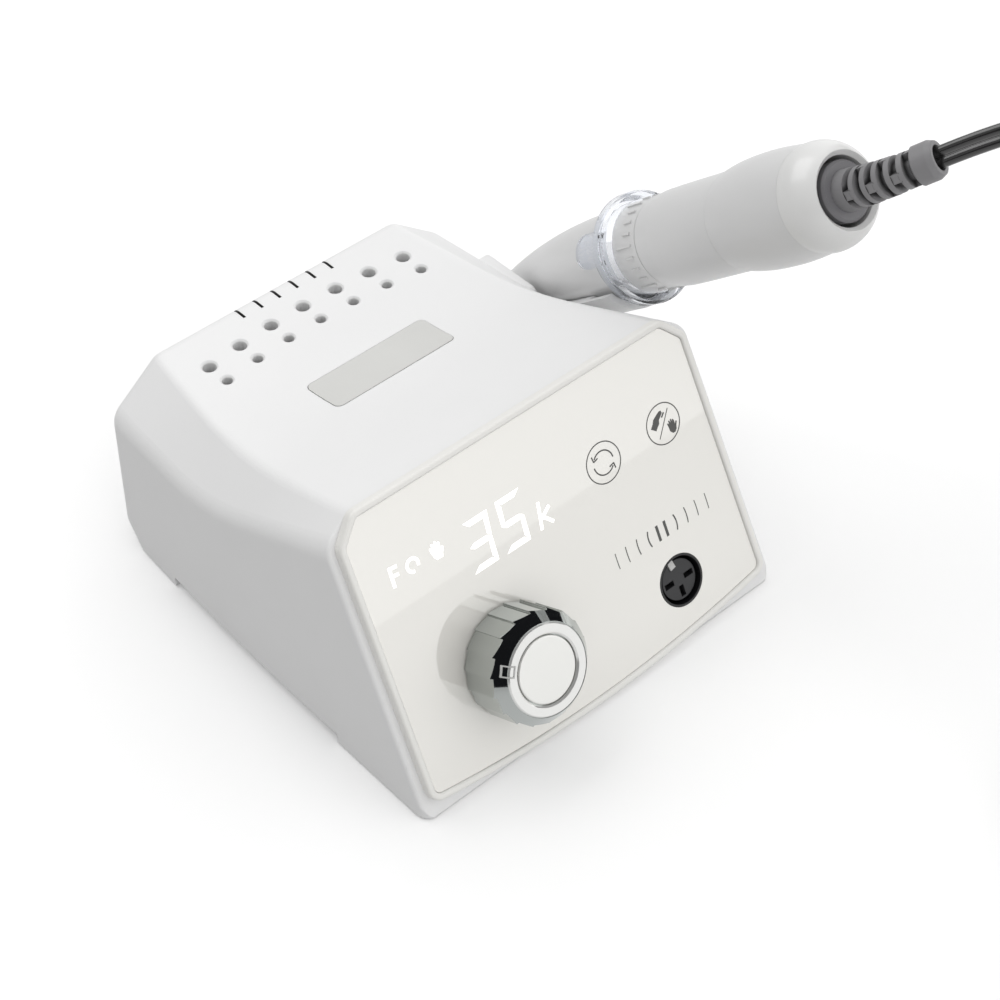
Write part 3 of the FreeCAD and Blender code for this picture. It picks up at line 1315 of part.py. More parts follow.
def make_motor(place):
    """Motor: end plates with bearings, steel can, magnets, rotor, brush holder and brushes."""
    front = size("sleeve_front")
    can_outer = size("can_radius")
    can_inner = can_outer - size("can_wall")
    shaft = size("rotor_shaft_radius")
    shaft_bore = shaft + size("running_gap")
    bearing, rear_bearing = size("bearing_radius"), size("rear_bearing_radius")
    plate_end = front + 5
    turned("motor_sleeve", [
        (can_outer, front), (size("collar_radius") - 0.1, front), (size("sleeve_radius") - 0.1, front + 6),
        (size("sleeve_radius"), front + 12), (size("sleeve_radius"), size("sleeve_rear")),
        (can_outer, size("sleeve_rear")),
    ], place)
    turned("motor_front_plate", ring_corners(bearing, can_outer, front + MOTOR_INSET, plate_end), place)
    turned("motor_front_bearing", ring_corners(shaft_bore, bearing, front + 0.8, front + 4.8), place)
    can_end = 138.0
    turned("motor_can", ring_corners(can_inner, can_outer, plate_end, can_end), place)
    tube = Part.makeCylinder(can_inner.value, MAGNET_END - MAGNET_START, Vector(0, 0, MAGNET_START))
    tube = tube.cut(Part.makeCylinder(STACK_RADIUS + AIR_GAP, 60, Vector(0, 0, MAGNET_START - 10)))
    slot = Part.makeBox(8, 40, 60, Vector(-4, -20, MAGNET_START - 10))
    formed("motor_magnets", tube.cut(slot), place)
    shaft_end = 137.0
    turned("motor_rotor", [
        (0, ROTOR_START), (shaft, ROTOR_START), (shaft, 96), (STACK_RADIUS, 96), (STACK_RADIUS, 116),
        (shaft, 116), (shaft, 120), (COMMUTATOR_RADIUS, 120), (COMMUTATOR_RADIUS, 127), (shaft, 127),
        (shaft, shaft_end), (0, shaft_end),
    ], place)
    long, wide, play = BRUSH["length"], BRUSH["width"], BRUSH["play"]
    ring = Part.makeCylinder(can_inner.value, 9, Vector(0, 0, 119.5))
    ring = ring.cut(Part.makeCylinder(COMMUTATOR_RADIUS + 0.8, 20, Vector(0, 0, 115)))
    slot = Part.makeBox(30, wide + 2 * play, BRUSH["height"] + 2 * play, Vector(-15, -wide / 2 - play, 121))
    formed("brush_holder", ring.cut(slot), place)
    start = COMMUTATOR_RADIUS + BRUSH["gap"]
    brushes = [
        Part.makeBox(long, wide, BRUSH["height"], Vector(x, -wide / 2, 121 + play))
        for x in (start, -start - long)
    ]
    formed("brushes", Part.makeCompound(brushes), place)
    turned("motor_rear_plate", ring_corners(rear_bearing, can_inner, 131.5, 137.5), place)
    turned("motor_rear_bearing", ring_corners(shaft_bore, rear_bearing, 132, 136), place)
    grouped("motor_end_plates", ["motor_front_plate", "motor_rear_plate"])
    grouped("motor_bearings", ["motor_front_bearing", "motor_rear_bearing"])


HOUSING_SEAM = 0.12


def make_rear(place):
    """Rear housing, pale lip round its opening, and the disc that the cord comes through."""
    start = size("sleeve_rear") + HOUSING_SEAM
    sleeve, grip = size("sleeve_radius"), size("grip_radius")
    lip_start, lip = size("lip_front"), size("lip_radius")
    inner = size("can_radius")
    swell = start + 13.5
    sweep_front = 70.0
    sweep_rear = 95.0
    turned("rear_housing", [
        (inner, start), (sleeve + 0.15, start), (grip, swell, dim(sweep_front), 1),
        (lip, lip_start, dim(sweep_rear), 1), (inner, lip_start),
    ], place)
    opening, end = size("opening_radius"), size("opening_place")
    turned("rear_lip", [
        (opening, 146), (inner, 146), (inner, lip_start), (lip, lip_start),
        (opening + 1.2, end, dim(11.5), 1), (opening, end - 1.2),
    ], place)
    turned("terminal_disc", [
        (0, 147), (opening, 147), (opening, 149.5), (8.5, 149.5), (8.5, end - 1.0), (7.8, end - 0.2),
        (0, end - 0.2),
    ], place)


RELIEF_COLLAR = 4.6
RIB_SHARE = 0.46
BRIDGE_WIDTH = 2.6


def relief_middle():
    """Places along the relief's axis, as a function of the distance from its root."""
    start = mm("opening_place") - 0.2
    straight = 4.0
    bent = mm("relief_length") - straight - RELIEF_COLLAR
    turn = math.radians(mm("relief_bend"))
    radius = bent / turn

    def at(distance):
        if distance <= straight:
            return Placement(Vector(0, 0, start + distance), Rotation())
        part = min(distance - straight, bent)
        angle = part / radius
        base = Vector(radius * (1 - math.cos(angle)), 0, start + straight + radius * math.sin(angle))
        heading = Rotation(Vector(0, 1, 0), math.degrees(angle))
        beyond = heading.multVec(Vector(0, 0, distance - straight - part))
        return Placement(base + beyond, heading)

    return at, straight, bent, radius


def make_relief(place):
    """Strain relief bent to the right: a core with ribs, joined by bridges that lie crosswise in turn."""
    at, straight, bent, radius = relief_middle()
    root, tip, core = mm("relief_root_radius"), mm("relief_tip_radius"), mm("relief_core")
    length = mm("relief_length")
    begin = at(straight)
    ring = Part.Face(Part.Wire(Part.makeCircle(core, begin.Base, Vector(0, 0, 1))))
    hub = begin.Base + Vector(radius, 0, 0)
    pieces = [ring.revolve(hub, Vector(0, 1, 0), mm("relief_bend"))]

    def rib(low, high, low_radius, high_radius):
        piece = Part.makeCone(low_radius, high_radius, high - low)
        piece.Placement = at((low + high) / 2).multiply(Placement(Vector(0, 0, (low - high) / 2), Rotation()))
        return piece

    def radius_at(distance):
        return root + (tip - root) * distance / (length - RELIEF_COLLAR)

    foot = Part.makeCone(root, radius_at(straight), straight)
    foot.Placement = at(0)
    pieces.append(foot)
    rows = int(mm("relief_slots"))
    pitch = bent / rows
    rib_length = pitch * RIB_SHARE
    for row in range(rows):
        slot_start = straight + row * pitch
        slot_end = slot_start + pitch - rib_length
        if row < rows - 1:
            end = slot_end + rib_length
            pieces.append(rib(slot_end, end, radius_at(slot_end), radius_at(end)))
        middle = (slot_start + slot_end) / 2
        reach = radius_at(middle) - 0.15
        overlap = 0.5
        tall = slot_end - slot_start + 2 * overlap
        bar = Part.makeBox(2 * reach, BRIDGE_WIDTH, tall, Vector(-reach, -BRIDGE_WIDTH / 2, -tall / 2))
        turn = Rotation(Vector(0, 0, 1), 90.0 * (row % 2))
        bar.Placement = at(middle).multiply(Placement(Vector(), turn)).multiply(bar.Placement)
        pieces.append(bar)
    collar_start = straight + bent - rib_length
    end_collar = Part.Face(Part.makePolygon([
        Vector(0, 0, 0), Vector(tip + 0.1, 0, 0), Vector(tip + 0.7, 0, 0.4),
        Vector(tip + 0.7, 0, RELIEF_COLLAR),
        Vector(tip, 0, length - collar_start), Vector(0, 0, length - collar_start), Vector(0, 0, 0),
    ])).revolve(Vector(), Vector(0, 0, 1), 360)
    end_collar.Placement = at(length).multiply(Placement(Vector(0, 0, collar_start - length), Rotation()))
    pieces.append(end_collar)
    depth = mm("relief_mouth_depth")
    mouth = Part.makeCylinder(mm("cord_diameter") / 2 + mm("relief_mouth_gap"), depth + 1)
    mouth.Placement = at(length).multiply(Placement(Vector(0, 0, -depth), Rotation()))
    relief = pieces[0].multiFuse(pieces[1:]).removeSplitter().cut(mouth)
    formed("strain_relief", relief, place)
    return place.multiply(at(length))


# Holder


def make_holder(place, outside):
    """Pocket for the nose, low cradle for the cone, and the bracket that holds both to the right wall."""
    arc = cone_arc_radius().value
    full = mm("cone_length")
    centre_r = mm("cone_radius") - arc
    gap, wall = mm("cradle_gap"), mm("cradle_wall")
    tip_room = mm("tip_radius") + gap + 0.4
    floor_low, floor_high, cradle_end = -4.0, -1.0, full + 0.5
    tab_room, tab_start = mm("cone_radius") + 1.9, 52.0
    bowl_side = [
        (tip_room + wall, floor_low), (tip_room + wall + 0.6, floor_low + 2), (8.6, 6), (10.6, 16),
        (12.8, 28),
        (14.9, 36), (16.4, 43.5), (tab_room + wall - 0.2, tab_start + 2), (tab_room + wall - 0.1, cradle_end),
    ]
    side = [Vector(0, 0, floor_low)] + [Vector(r, 0, z) for r, z in bowl_side] + [Vector(0, 0, cradle_end)]
    bowl = Part.Face(Part.makePolygon(side + side[:1])).revolve(Vector(), Vector(0, 0, 1), 360)
    hollow = shaft_of_arc(centre_r, full, arc + gap, mm("tip_length") - 0.5, tab_start + 1)
    hollow = hollow.multiFuse([
        Part.makeCylinder(tip_room, mm("tip_length") - floor_high, Vector(0, 0, floor_high)),
        Part.makeCylinder(3.0, 30, Vector(0, 0, -20)),
        Part.makeCylinder(tab_room, 30, Vector(0, 0, tab_start)),
    ])
    wide = 200.0
    end = mm("pocket_end")
    above_cradle = Part.makeBox(wide, wide, wide, Vector(-wide / 2, -mm("cradle_drop"), end))
    above_pocket = Part.makeBox(wide, wide, wide, Vector(-wide / 2, mm("pocket_rise"), end - wide))
    web = Part.makeBox(20, 8, 36, Vector(-22, -mm("cradle_drop") - 8, 1))
    cradle = bowl.fuse(web).cut([above_cradle, above_pocket, hollow])
    cradle.Placement = place
    plate_outside = mm("housing_half_width") - BRACKET_INSET
    plate = Part.makeBox(12, 25, 27, Vector(plate_outside - 12, 101, mm("bracket_top") - 27))
    plate = plate.makeFillet(3.0, [e for e in plate.Edges if e.BoundBox.XLength > 10])
    hollow.Placement = place
    beside = Part.makeBox(60, 200, 200, Vector(plate_outside - 12, 0, 0))
    holder = cradle.common(beside).fuse(plate).cut([outside, hollow])
    holes = []
    screws = []
    for y, z in BRACKET_SCREW_PLACES:
        foot = Vector(plate_outside, y, z)
        outward = Vector(1, 0, 0)
        holes.append(Part.makeCylinder(mm("screw_radius"), 20, foot - outward * 19, outward))
        holes.append(Part.makeCylinder(3.2, 30, foot, outward))
        head = Part.makeCylinder(2.8, 1.4, foot, outward)
        screws.append(head.fuse(Part.makeCylinder(mm("screw_radius"), 9, foot - outward * 9, outward)))
    formed("handpiece_holder", holder.cut(holes))
    formed("holder_screws", Part.makeCompound(screws))


# Cord

# The free stretch after its first run: each run's length, compass direction and rise.
# It leaves the relief to the right, bends over, falls beside the machine and lands on the table.
CORD_RUNS = (
    (18.0, -53.0, 27.0),
    (18.0, -61.0, 2.0),
    (17.5, -72.0, -23.0),
    (17.5, -82.0, -48.0),
    (18.0, -90.0, -70.0),
    (21.0, -90.0, -83.0),
    (23.5, -90.0, -88.0),
    (24.0, -90.0, -89.5),
    (21.6, -90.0, -86.0),
    (15.5, -90.0, -74.0),
    (13.0, -90.0, -56.0),
    (13.0, -90.0, -37.0),
    (13.0, -90.0, -18.0),
    (12.5, -90.0, 0.0),
)
FIRST_RUN = 12.0
LAY_CLEARANCE = 0.05
TURN_SHARE = 0.45
QUARTERS_IN = 9
QUARTERS_CLIMB = 3
TAIL = 20.0


def cord_points(exit_place):
    """Points of the cord's free stretch, from the bottom of the relief's mouth to the coil."""
    lay = mm("cord_diameter") / 2 + LAY_CLEARANCE
    inside = Vector(0, 0, -mm("relief_mouth_depth"))
    points = [exit_place.multVec(inside), exit_place.multVec(Vector(0, 0, FIRST_RUN))]
    for length, compass, rise in CORD_RUNS:
        flat, up = math.cos(math.radians(rise)), math.sin(math.radians(rise))
        turn = math.radians(compass)
        step = Vector(flat * math.cos(turn), flat * math.sin(turn), up)
        points.append(points[-1] + step * length)
    for point in points[-2:]:
        point.z = lay
    return points


def rounded_path(points):
    """Straight runs joined by arcs as large as the shorter run at each point allows."""
    edges = []
    start = points[0]
    radii = []
    for before, corner, after in zip(points, points[1:], points[2:]):
        back = (before - corner)
        ahead = (after - corner)
        turn = math.pi - back.getAngle(ahead)
        shorter = min(back.Length, ahead.Length)
        reach = TURN_SHARE * shorter
        radius = reach / math.tan(turn / 2)
        radii.append(round(radius, 1))
        back.normalize()
        ahead.normalize()
        first = corner + back * reach
        last = corner + ahead * reach
        inward = (back + ahead).normalize()
        middle = corner + inward * (radius / math.cos(turn / 2) - radius)
        edges.append(Part.LineSegment(start, first).toShape())
        edges.append(Part.Arc(first, middle, last).toShape())
        start = last
    edges.append(Part.LineSegment(start, points[-1]).toShape())
    print("cord: radii of the free stretch", radii)
    return edges


def arc_from(start, heading, end):
    """Arc that leaves start along a heading and ends at end."""
    chord = end - start
    along = Vector(chord).normalize()
    sideways = heading - along * heading.dot(along)
    if sideways.Length < 1e-9:
        return Part.LineSegment(start, end).toShape()
    rise = chord.Length / 2 * math.tan(heading.getAngle(chord) / 2)
    return Part.Arc(start, (start + end) / 2 + sideways.normalize() * rise, end).toShape()


def biarc(start, heading, end, final):
    """Two arcs that lead from start to end and keep both headings."""
    gap = end - start
    both = heading + final
    spread = 2 * (1 - heading.dot(final))
    reach = (math.sqrt(gap.dot(both) ** 2 + spread * gap.dot(gap)) - gap.dot(both)) / spread
    middle = (start + end + (heading - final) * reach) / 2
    turned_heading = (gap - both * reach).normalize()
    return [arc_from(start, heading, middle), arc_from(middle, turned_heading, end)]


def coil_path(start, heading):
    """Clockwise turns that spiral in on the table, climb a layer, and spiral out on top of themselves."""
    pitch = mm("cord_diameter") + mm("coil_gap")
    outer = mm("coil_outer_radius")
    outward = Vector(-heading.y, heading.x, 0)
    centre = start - outward * outer
    first = math.atan2(outward.y, outward.x)
    total = 2 * QUARTERS_IN + QUARTERS_CLIMB

    def at(quarter):
        inward = min(quarter, total - quarter)
        radius = outer - pitch * inward / 4
        climb = min(max(quarter - QUARTERS_IN, 0), QUARTERS_CLIMB) / QUARTERS_CLIMB
        height = start.z + pitch * climb * climb * (3 - 2 * climb)
        angle = first - quarter * math.pi / 2
        return centre + Vector(radius * math.cos(angle), radius * math.sin(angle), height - centre.z)

    def heading_at(quarter):
        small = 1e-3
        if quarter == 0:
            return Vector(heading)
        if quarter == total:
            angle = first - total * math.pi / 2
            return Vector(math.sin(angle), -math.cos(angle), 0)
        return (at(quarter + small) - at(quarter - small)).normalize()

    edges = []
    for quarter in range(total):
        edges += biarc(at(quarter), heading_at(quarter), at(quarter + 1), heading_at(quarter + 1))
    way = heading_at(total)
    end = at(total) + way * TAIL
    edges.append(Part.LineSegment(at(total), end).toShape())
    return edges, end, way


def swept(edges, radius):
    """Round tube along a path that starts with the first edge."""
    wire = Part.Wire(edges)
    first = edges[0]
    begin = first.valueAt(first.FirstParameter)
    heading = first.tangentAt(first.FirstParameter)
    ring = Part.Wire(Part.makeCircle(radius, begin, heading))
    return wire.makePipeShell([ring], True, False)


def least_gap(edges, diameter):
    """Least gap of a wound tube to itself, measured on points 2 mm apart."""
    points = []
    for edge in edges:
        count = max(2, int(edge.Length / 2))
        points += edge.discretize(Number=count + 1)[:-1]
    away = int(1.6 * diameter)
    least = min(
        (a - b).Length
        for index, a in enumerate(points)
        for b in points[index + away:]
    )
    return least - diameter


def make_cord(exit_place):
    """Free stretch, put-away coil and plug."""
    diameter = mm("cord_diameter")
    points = cord_points(exit_place)
    edges = rounded_path(points)
    tube = swept(edges, diameter / 2)
    length = sum(edge.Length for edge in edges)
    section = math.pi * diameter ** 2 / 4
    print("cord: free stretch", round(length, 1), "volume share", round(tube.Volume / (section * length), 4))
    formed("cord_stretch", tube)
    heading = (points[-1] - points[-2]).normalize()
    turns, end, way = coil_path(points[-1], heading)
    coil = swept(turns, diameter / 2)
    coil_length = sum(edge.Length for edge in turns)
    share = coil.Volume / (section * coil_length)
    print("cord: coil", round(coil_length, 1), "volume share", round(share, 4))
    print("cord: least gap in the coil", round(least_gap(turns, diameter), 2))
    print("cord: whole length", round(length + coil_length, 1))
    formed("cord_coil", coil)
    make_plug(end, way)


def make_plug(end, way):
    """Three-pin round plug that fits the socket on the panel."""
    place = Placement(end, Rotation(Vector(0, 0, 1), way))
    core = mm("cord_diameter") / 2
    grip = size("plug_radius")
    turned("plug_body", [
        (0, 0), (core + 0.6, 0), (core + 1.2, 1.0), (5.2, 13.0), (7.2, 15.0), (7.6, 17.0), (7.6, 27.0),
        (grip - 0.6, 27.0), (grip, 27.6), (grip, 37.4), (grip - 0.6, 38.0), (0, 38.0),
    ], place)
    shell_outer, shell_inner = size("socket_bore") - 0.15, size("socket_core") + 0.15
    turned("plug_barrel", ring_corners(shell_inner, shell_outer, 38.0, 46.5), place)
    pins = []
    circle = mm("contact_circle")
    for way in CONTACT_WAYS:
        angle = math.radians(way)
        x, y = circle * math.cos(angle), circle * math.sin(angle)
        pins.append(rod(f"plug_pin_{way:.0f}", (x, y, 38.0), PIN_RADIUS, 7.6))
    keep("plug_pins", joined("plug_pins", pins), place)
    grouped("plug_contacts", ["plug_barrel", "plug_pins"])


CORD_PIECES = ("cord_stretch", "cord_coil", "plug_body", "plug_contacts")


def tight_box(shape):
    """Bounding box of the shape itself, not of its control points."""
    return shape.optimalBoundingBox(False, False)


def centre_all():
    """Move every piece so that the origin lies under the middle of the machine."""
    whole = None
    for label, thing in PARTS.items():
        if label in CORD_PIECES:
            continue
        box = tight_box(thing.Shape)
        if whole is None:
            whole = box
        else:
            whole.add(box)
    shift = Placement(Vector(-whole.Center.x, -whole.Center.y, -whole.ZMin), Rotation())
    for thing in PARTS.values():
        thing.Placement = shift.multiply(thing.Placement)
    DOC.recompute()
    print("moved by", shift.Base, "size", whole.XLength, whole.YLength, whole.ZLength)
    return shift


def check_all():
    """Stop if any object failed or any piece is empty or invalid."""
    for thing in DOC.Objects:
        if "Invalid" in thing.State or "Error" in thing.State:
            raise ValueError(thing.Label + " failed: " + str(thing.State))
    for label, thing in PARTS.items():
        shape = thing.Shape
        if shape.isNull() or not shape.isValid() or not shape.Solids:
            raise ValueError(label + " has no valid solid")


def write_all():
    """Write each piece to its own file."""
    os.makedirs("parts", exist_ok=True)
    for label, thing in PARTS.items():
        thing.Shape.exportStep(f"parts/{label}.step")
        print(label, len(thing.Shape.Solids), "solids", round(thing.Shape.Volume, 1), "mm3")


def main():
    """Build every piece, put the machine on its origin, check and write the pieces."""
    outside = make_housing()
    make_panel()
    make_base_hardware()
    make_front_board()
    make_knob()
    make_socket()
    make_main_board()
    make_transformer()
    make_rear_fittings()
    place = handpiece_place()
    make_nose(place)
    make_guard_ring(place)
    make_chuck(place)
    make_motor(place)
    make_rear(place)
    exit_place = make_relief(place)
    make_holder(place, outside)
    make_cord(exit_place)
    DOC.recompute()
    centre_all()
    check_all()
    write_all()


main()
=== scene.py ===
import math

import bmesh
import bpy
from mathutils import Matrix, Vector


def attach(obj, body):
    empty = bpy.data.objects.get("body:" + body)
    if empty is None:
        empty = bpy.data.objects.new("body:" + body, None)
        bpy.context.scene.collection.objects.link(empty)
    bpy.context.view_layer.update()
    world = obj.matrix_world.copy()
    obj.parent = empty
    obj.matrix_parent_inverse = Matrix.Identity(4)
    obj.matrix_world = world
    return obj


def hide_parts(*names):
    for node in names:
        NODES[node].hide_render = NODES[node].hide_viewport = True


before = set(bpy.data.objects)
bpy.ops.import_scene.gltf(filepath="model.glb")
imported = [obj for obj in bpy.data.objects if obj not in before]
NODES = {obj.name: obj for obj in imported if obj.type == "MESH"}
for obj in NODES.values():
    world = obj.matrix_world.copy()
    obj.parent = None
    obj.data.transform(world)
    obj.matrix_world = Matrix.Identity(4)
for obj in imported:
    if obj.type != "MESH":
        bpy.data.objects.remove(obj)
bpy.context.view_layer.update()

MM = 0.001


# Frames: lengths in them are millimetres, and each matrix turns them into the part's metres

ORIGIN_SHIFT = (-16.99135, -63.62716, 0.0)
PANEL_FOOT = (0.0, 0.0, 7.7)
PANEL_TILT = math.radians(63.1)
HAND_NOSE = (78.0, 124.15, 30.34)
HAND_YAW, HAND_PITCH = math.radians(4.26), math.radians(39.88)

MACHINE = Matrix.Scale(MM, 4) @ Matrix.Translation(ORIGIN_SHIFT)
PANEL = MACHINE @ Matrix.Translation(PANEL_FOOT) @ Matrix.Rotation(PANEL_TILT, 4, "X")


def handpiece_matrix():
    """Frame of the handpiece: Z from its nose to its cord, Y up, X to the right."""
    along = Vector((
        math.sin(HAND_YAW) * math.cos(HAND_PITCH),
        -math.cos(HAND_YAW) * math.cos(HAND_PITCH),
        math.sin(HAND_PITCH),
    ))
    up = (Vector((0, 0, 1)) - along * along.z).normalized()
    across = up.cross(along)
    turn = Matrix((across, up, along)).transposed().to_4x4()
    return MACHINE @ Matrix.Translation(HAND_NOSE) @ turn


HAND = handpiece_matrix()


# Camera

CAMERA_SENSOR, CAMERA_LENS = 36.0, 83.652
CAMERA_CLIP = (0.05, 20.0)
CAMERA_PLACE = (-0.317505, -0.367591, 0.511521)
CAMERA_TURN = (44.60193, 0.89667, -41.77126)


def make_camera():
    data = bpy.data.cameras.new("camera")
    data.sensor_width = CAMERA_SENSOR
    data.lens = CAMERA_LENS
    data.clip_start, data.clip_end = CAMERA_CLIP
    camera = bpy.data.objects.new("camera", data)
    camera.location = CAMERA_PLACE
    camera.rotation_euler = [math.radians(angle) for angle in CAMERA_TURN]
    bpy.context.scene.collection.objects.link(camera)
    bpy.context.scene.camera = camera


make_camera()


# Materials

BUMP_DISTANCE = 0.0001
EDGE_SAMPLES = 4
HAZE_SHARE = 0.4  # size of the patches of gloss, as a share of the patches of colour
# Painted shade in narrow gaps: occlusion samples, how steeply the colour darkens, and the
# near-black colour it darkens to
PAINTED_SHADE_SAMPLES = 8
PAINTED_SHADE_POWER = 4.0
PAINTED_SHADE_TONE = (0.01, 0.01, 0.01, 1)


def grey(level):
    return (level, level, level, 1)


class Nodes:
    """Short way to build a node tree."""

    def __init__(self, tree):
        self.tree = tree
        tree.nodes.clear()

    def add(self, kind, inputs=(), **settings):
        node = self.tree.nodes.new(kind)
        for key, value in settings.items():
            setattr(node, key, value)
        for key, value in dict(inputs).items():
            self.give(node.inputs[key], value)
        return node

    def give(self, socket, value):
        if isinstance(value, bpy.types.NodeSocket):
            self.tree.links.new(value, socket)
        else:
            socket.default_value = value

    def noise(self, place, size, detail=2.0):
        """Noise whose features are about this large, in metres."""
        made = self.add("ShaderNodeTexNoise", {
            "Vector": place, "Scale": 1.0 / size, "Detail": detail,
        })
        return made.outputs[0]

    def spread(self, value, low, high, start=0.3, end=0.7):
        """Stretch a value that runs from start to end to another range."""
        made = self.add("ShaderNodeMapRange", {
            "Value": value, "From Min": start, "From Max": end, "To Min": low, "To Max": high,
        }, clamp=True)
        return made.outputs["Result"]

    def mix(self, share, first, second, blend="MIX"):
        """Colour between two, by the share of the second."""
        made = self.add("ShaderNodeMix", {0: share, 6: first, 7: second},
                        data_type="RGBA", blend_type=blend)
        return made.outputs[2]

    def sum(self, operation, *values):
        """Result of a sum with one or two numbers."""
        made = self.add("ShaderNodeMath", dict(enumerate(values)), operation=operation)
        return made.outputs[0]

    def along(self, way, direction):
        """How far a vector reaches along a direction."""
        made = self.add("ShaderNodeVectorMath", {0: way, 1: direction}, operation="DOT_PRODUCT")
        return made.outputs["Value"]

    def rays(self):
        """Whether a ray comes from the camera, also through glass, and whether from a mirror."""
        path = self.add("ShaderNodeLightPath").outputs
        seen = self.sum("MAXIMUM", path["Is Camera Ray"], path["Is Transmission Ray"])
        return seen, path["Is Glossy Ray"]

    def finish(self, kind, shader):
        self.give(self.add(kind).inputs["Surface"], shader.outputs[0])


def linear(colour):
    """A colour written as 0 to 255 screen values, as the shader wants it."""
    made = []
    for part in colour:
        part = part / 255.0
        made.append(part / 12.92 if part <= 0.04045 else ((part + 0.055) / 1.055) ** 2.4)
    return (*made, 1.0)


def finish_of(
    name, colour, roughness, metallic=0.0, mottle=0.012, mottle_size=0.03, grain=0.0,
    grain_size=0.0005, rough_spread=0.04, edge=0.00025, stretch=None, crevice=0.0, **sockets,
):
    """Material with a slightly uneven colour and gloss, a fine grain, and rounded edges.

    mottle is the share by which the colour varies, grain the strength of the relief and edge the
    radius of the rounding in metres. The gap width, in metres, is how narrow a gap must be to
    get painted shade: its colour is darkened towards near black by ambient occlusion, in place
    of its shadow.
    """
    made = bpy.data.materials.new(name)
    made.use_nodes = True
    n = Nodes(made.node_tree)
    where = n.add("ShaderNodeTexCoord").outputs["Object"]
    base = linear(colour)[:3]
    darker = (*(c * (1 - 3 * mottle) for c in base), 1.0)
    lighter = (*(min(1.0, c * (1 + mottle)) for c in base), 1.0)
    cloud = n.noise(where, mottle_size, 3.0)
    tone = n.mix(n.spread(cloud, 0.0, 1.0), darker, lighter)
    # Painted shade: colour darkened towards near black inside narrow gaps and slots by ambient
    # occlusion, standing in for their shadow
    if crevice:
        shade_probe = n.add("ShaderNodeAmbientOcclusion", {"Distance": crevice},
                         samples=PAINTED_SHADE_SAMPLES, only_local=True)
        unshaded_share = n.sum("POWER", shade_probe.outputs["AO"], PAINTED_SHADE_POWER)
        tone = n.mix(unshaded_share, PAINTED_SHADE_TONE, tone)
    shader = n.add("ShaderNodeBsdfPrincipled", {"Base Color": tone, "Metallic": metallic})
    haze = n.noise(where, mottle_size * HAZE_SHARE, 4.0)
    low, high = max(0.0, roughness - rough_spread), min(1.0, roughness + rough_spread)
    n.give(shader.inputs["Roughness"], n.spread(haze, low, high))
    normal = None
    if edge:
        normal = n.add("ShaderNodeBevel", {"Radius": edge}, samples=EDGE_SAMPLES).outputs[0]
    if grain:
        place = where
        if stretch:
            place = n.add("ShaderNodeMapping", {"Vector": where, "Scale": stretch}).outputs[0]
        bump = n.add("ShaderNodeBump", {
            "Strength": grain, "Distance": BUMP_DISTANCE, "Height": n.noise(place, grain_size),
        })
        if normal:
            n.give(bump.inputs["Normal"], normal)
        normal = bump.outputs[0]
    if normal:
        n.give(shader.inputs["Normal"], normal)
    for key, value in sockets.items():
        n.give(shader.inputs[key.replace("_", " ")], value)
    n.finish("ShaderNodeOutputMaterial", shader)
    return made
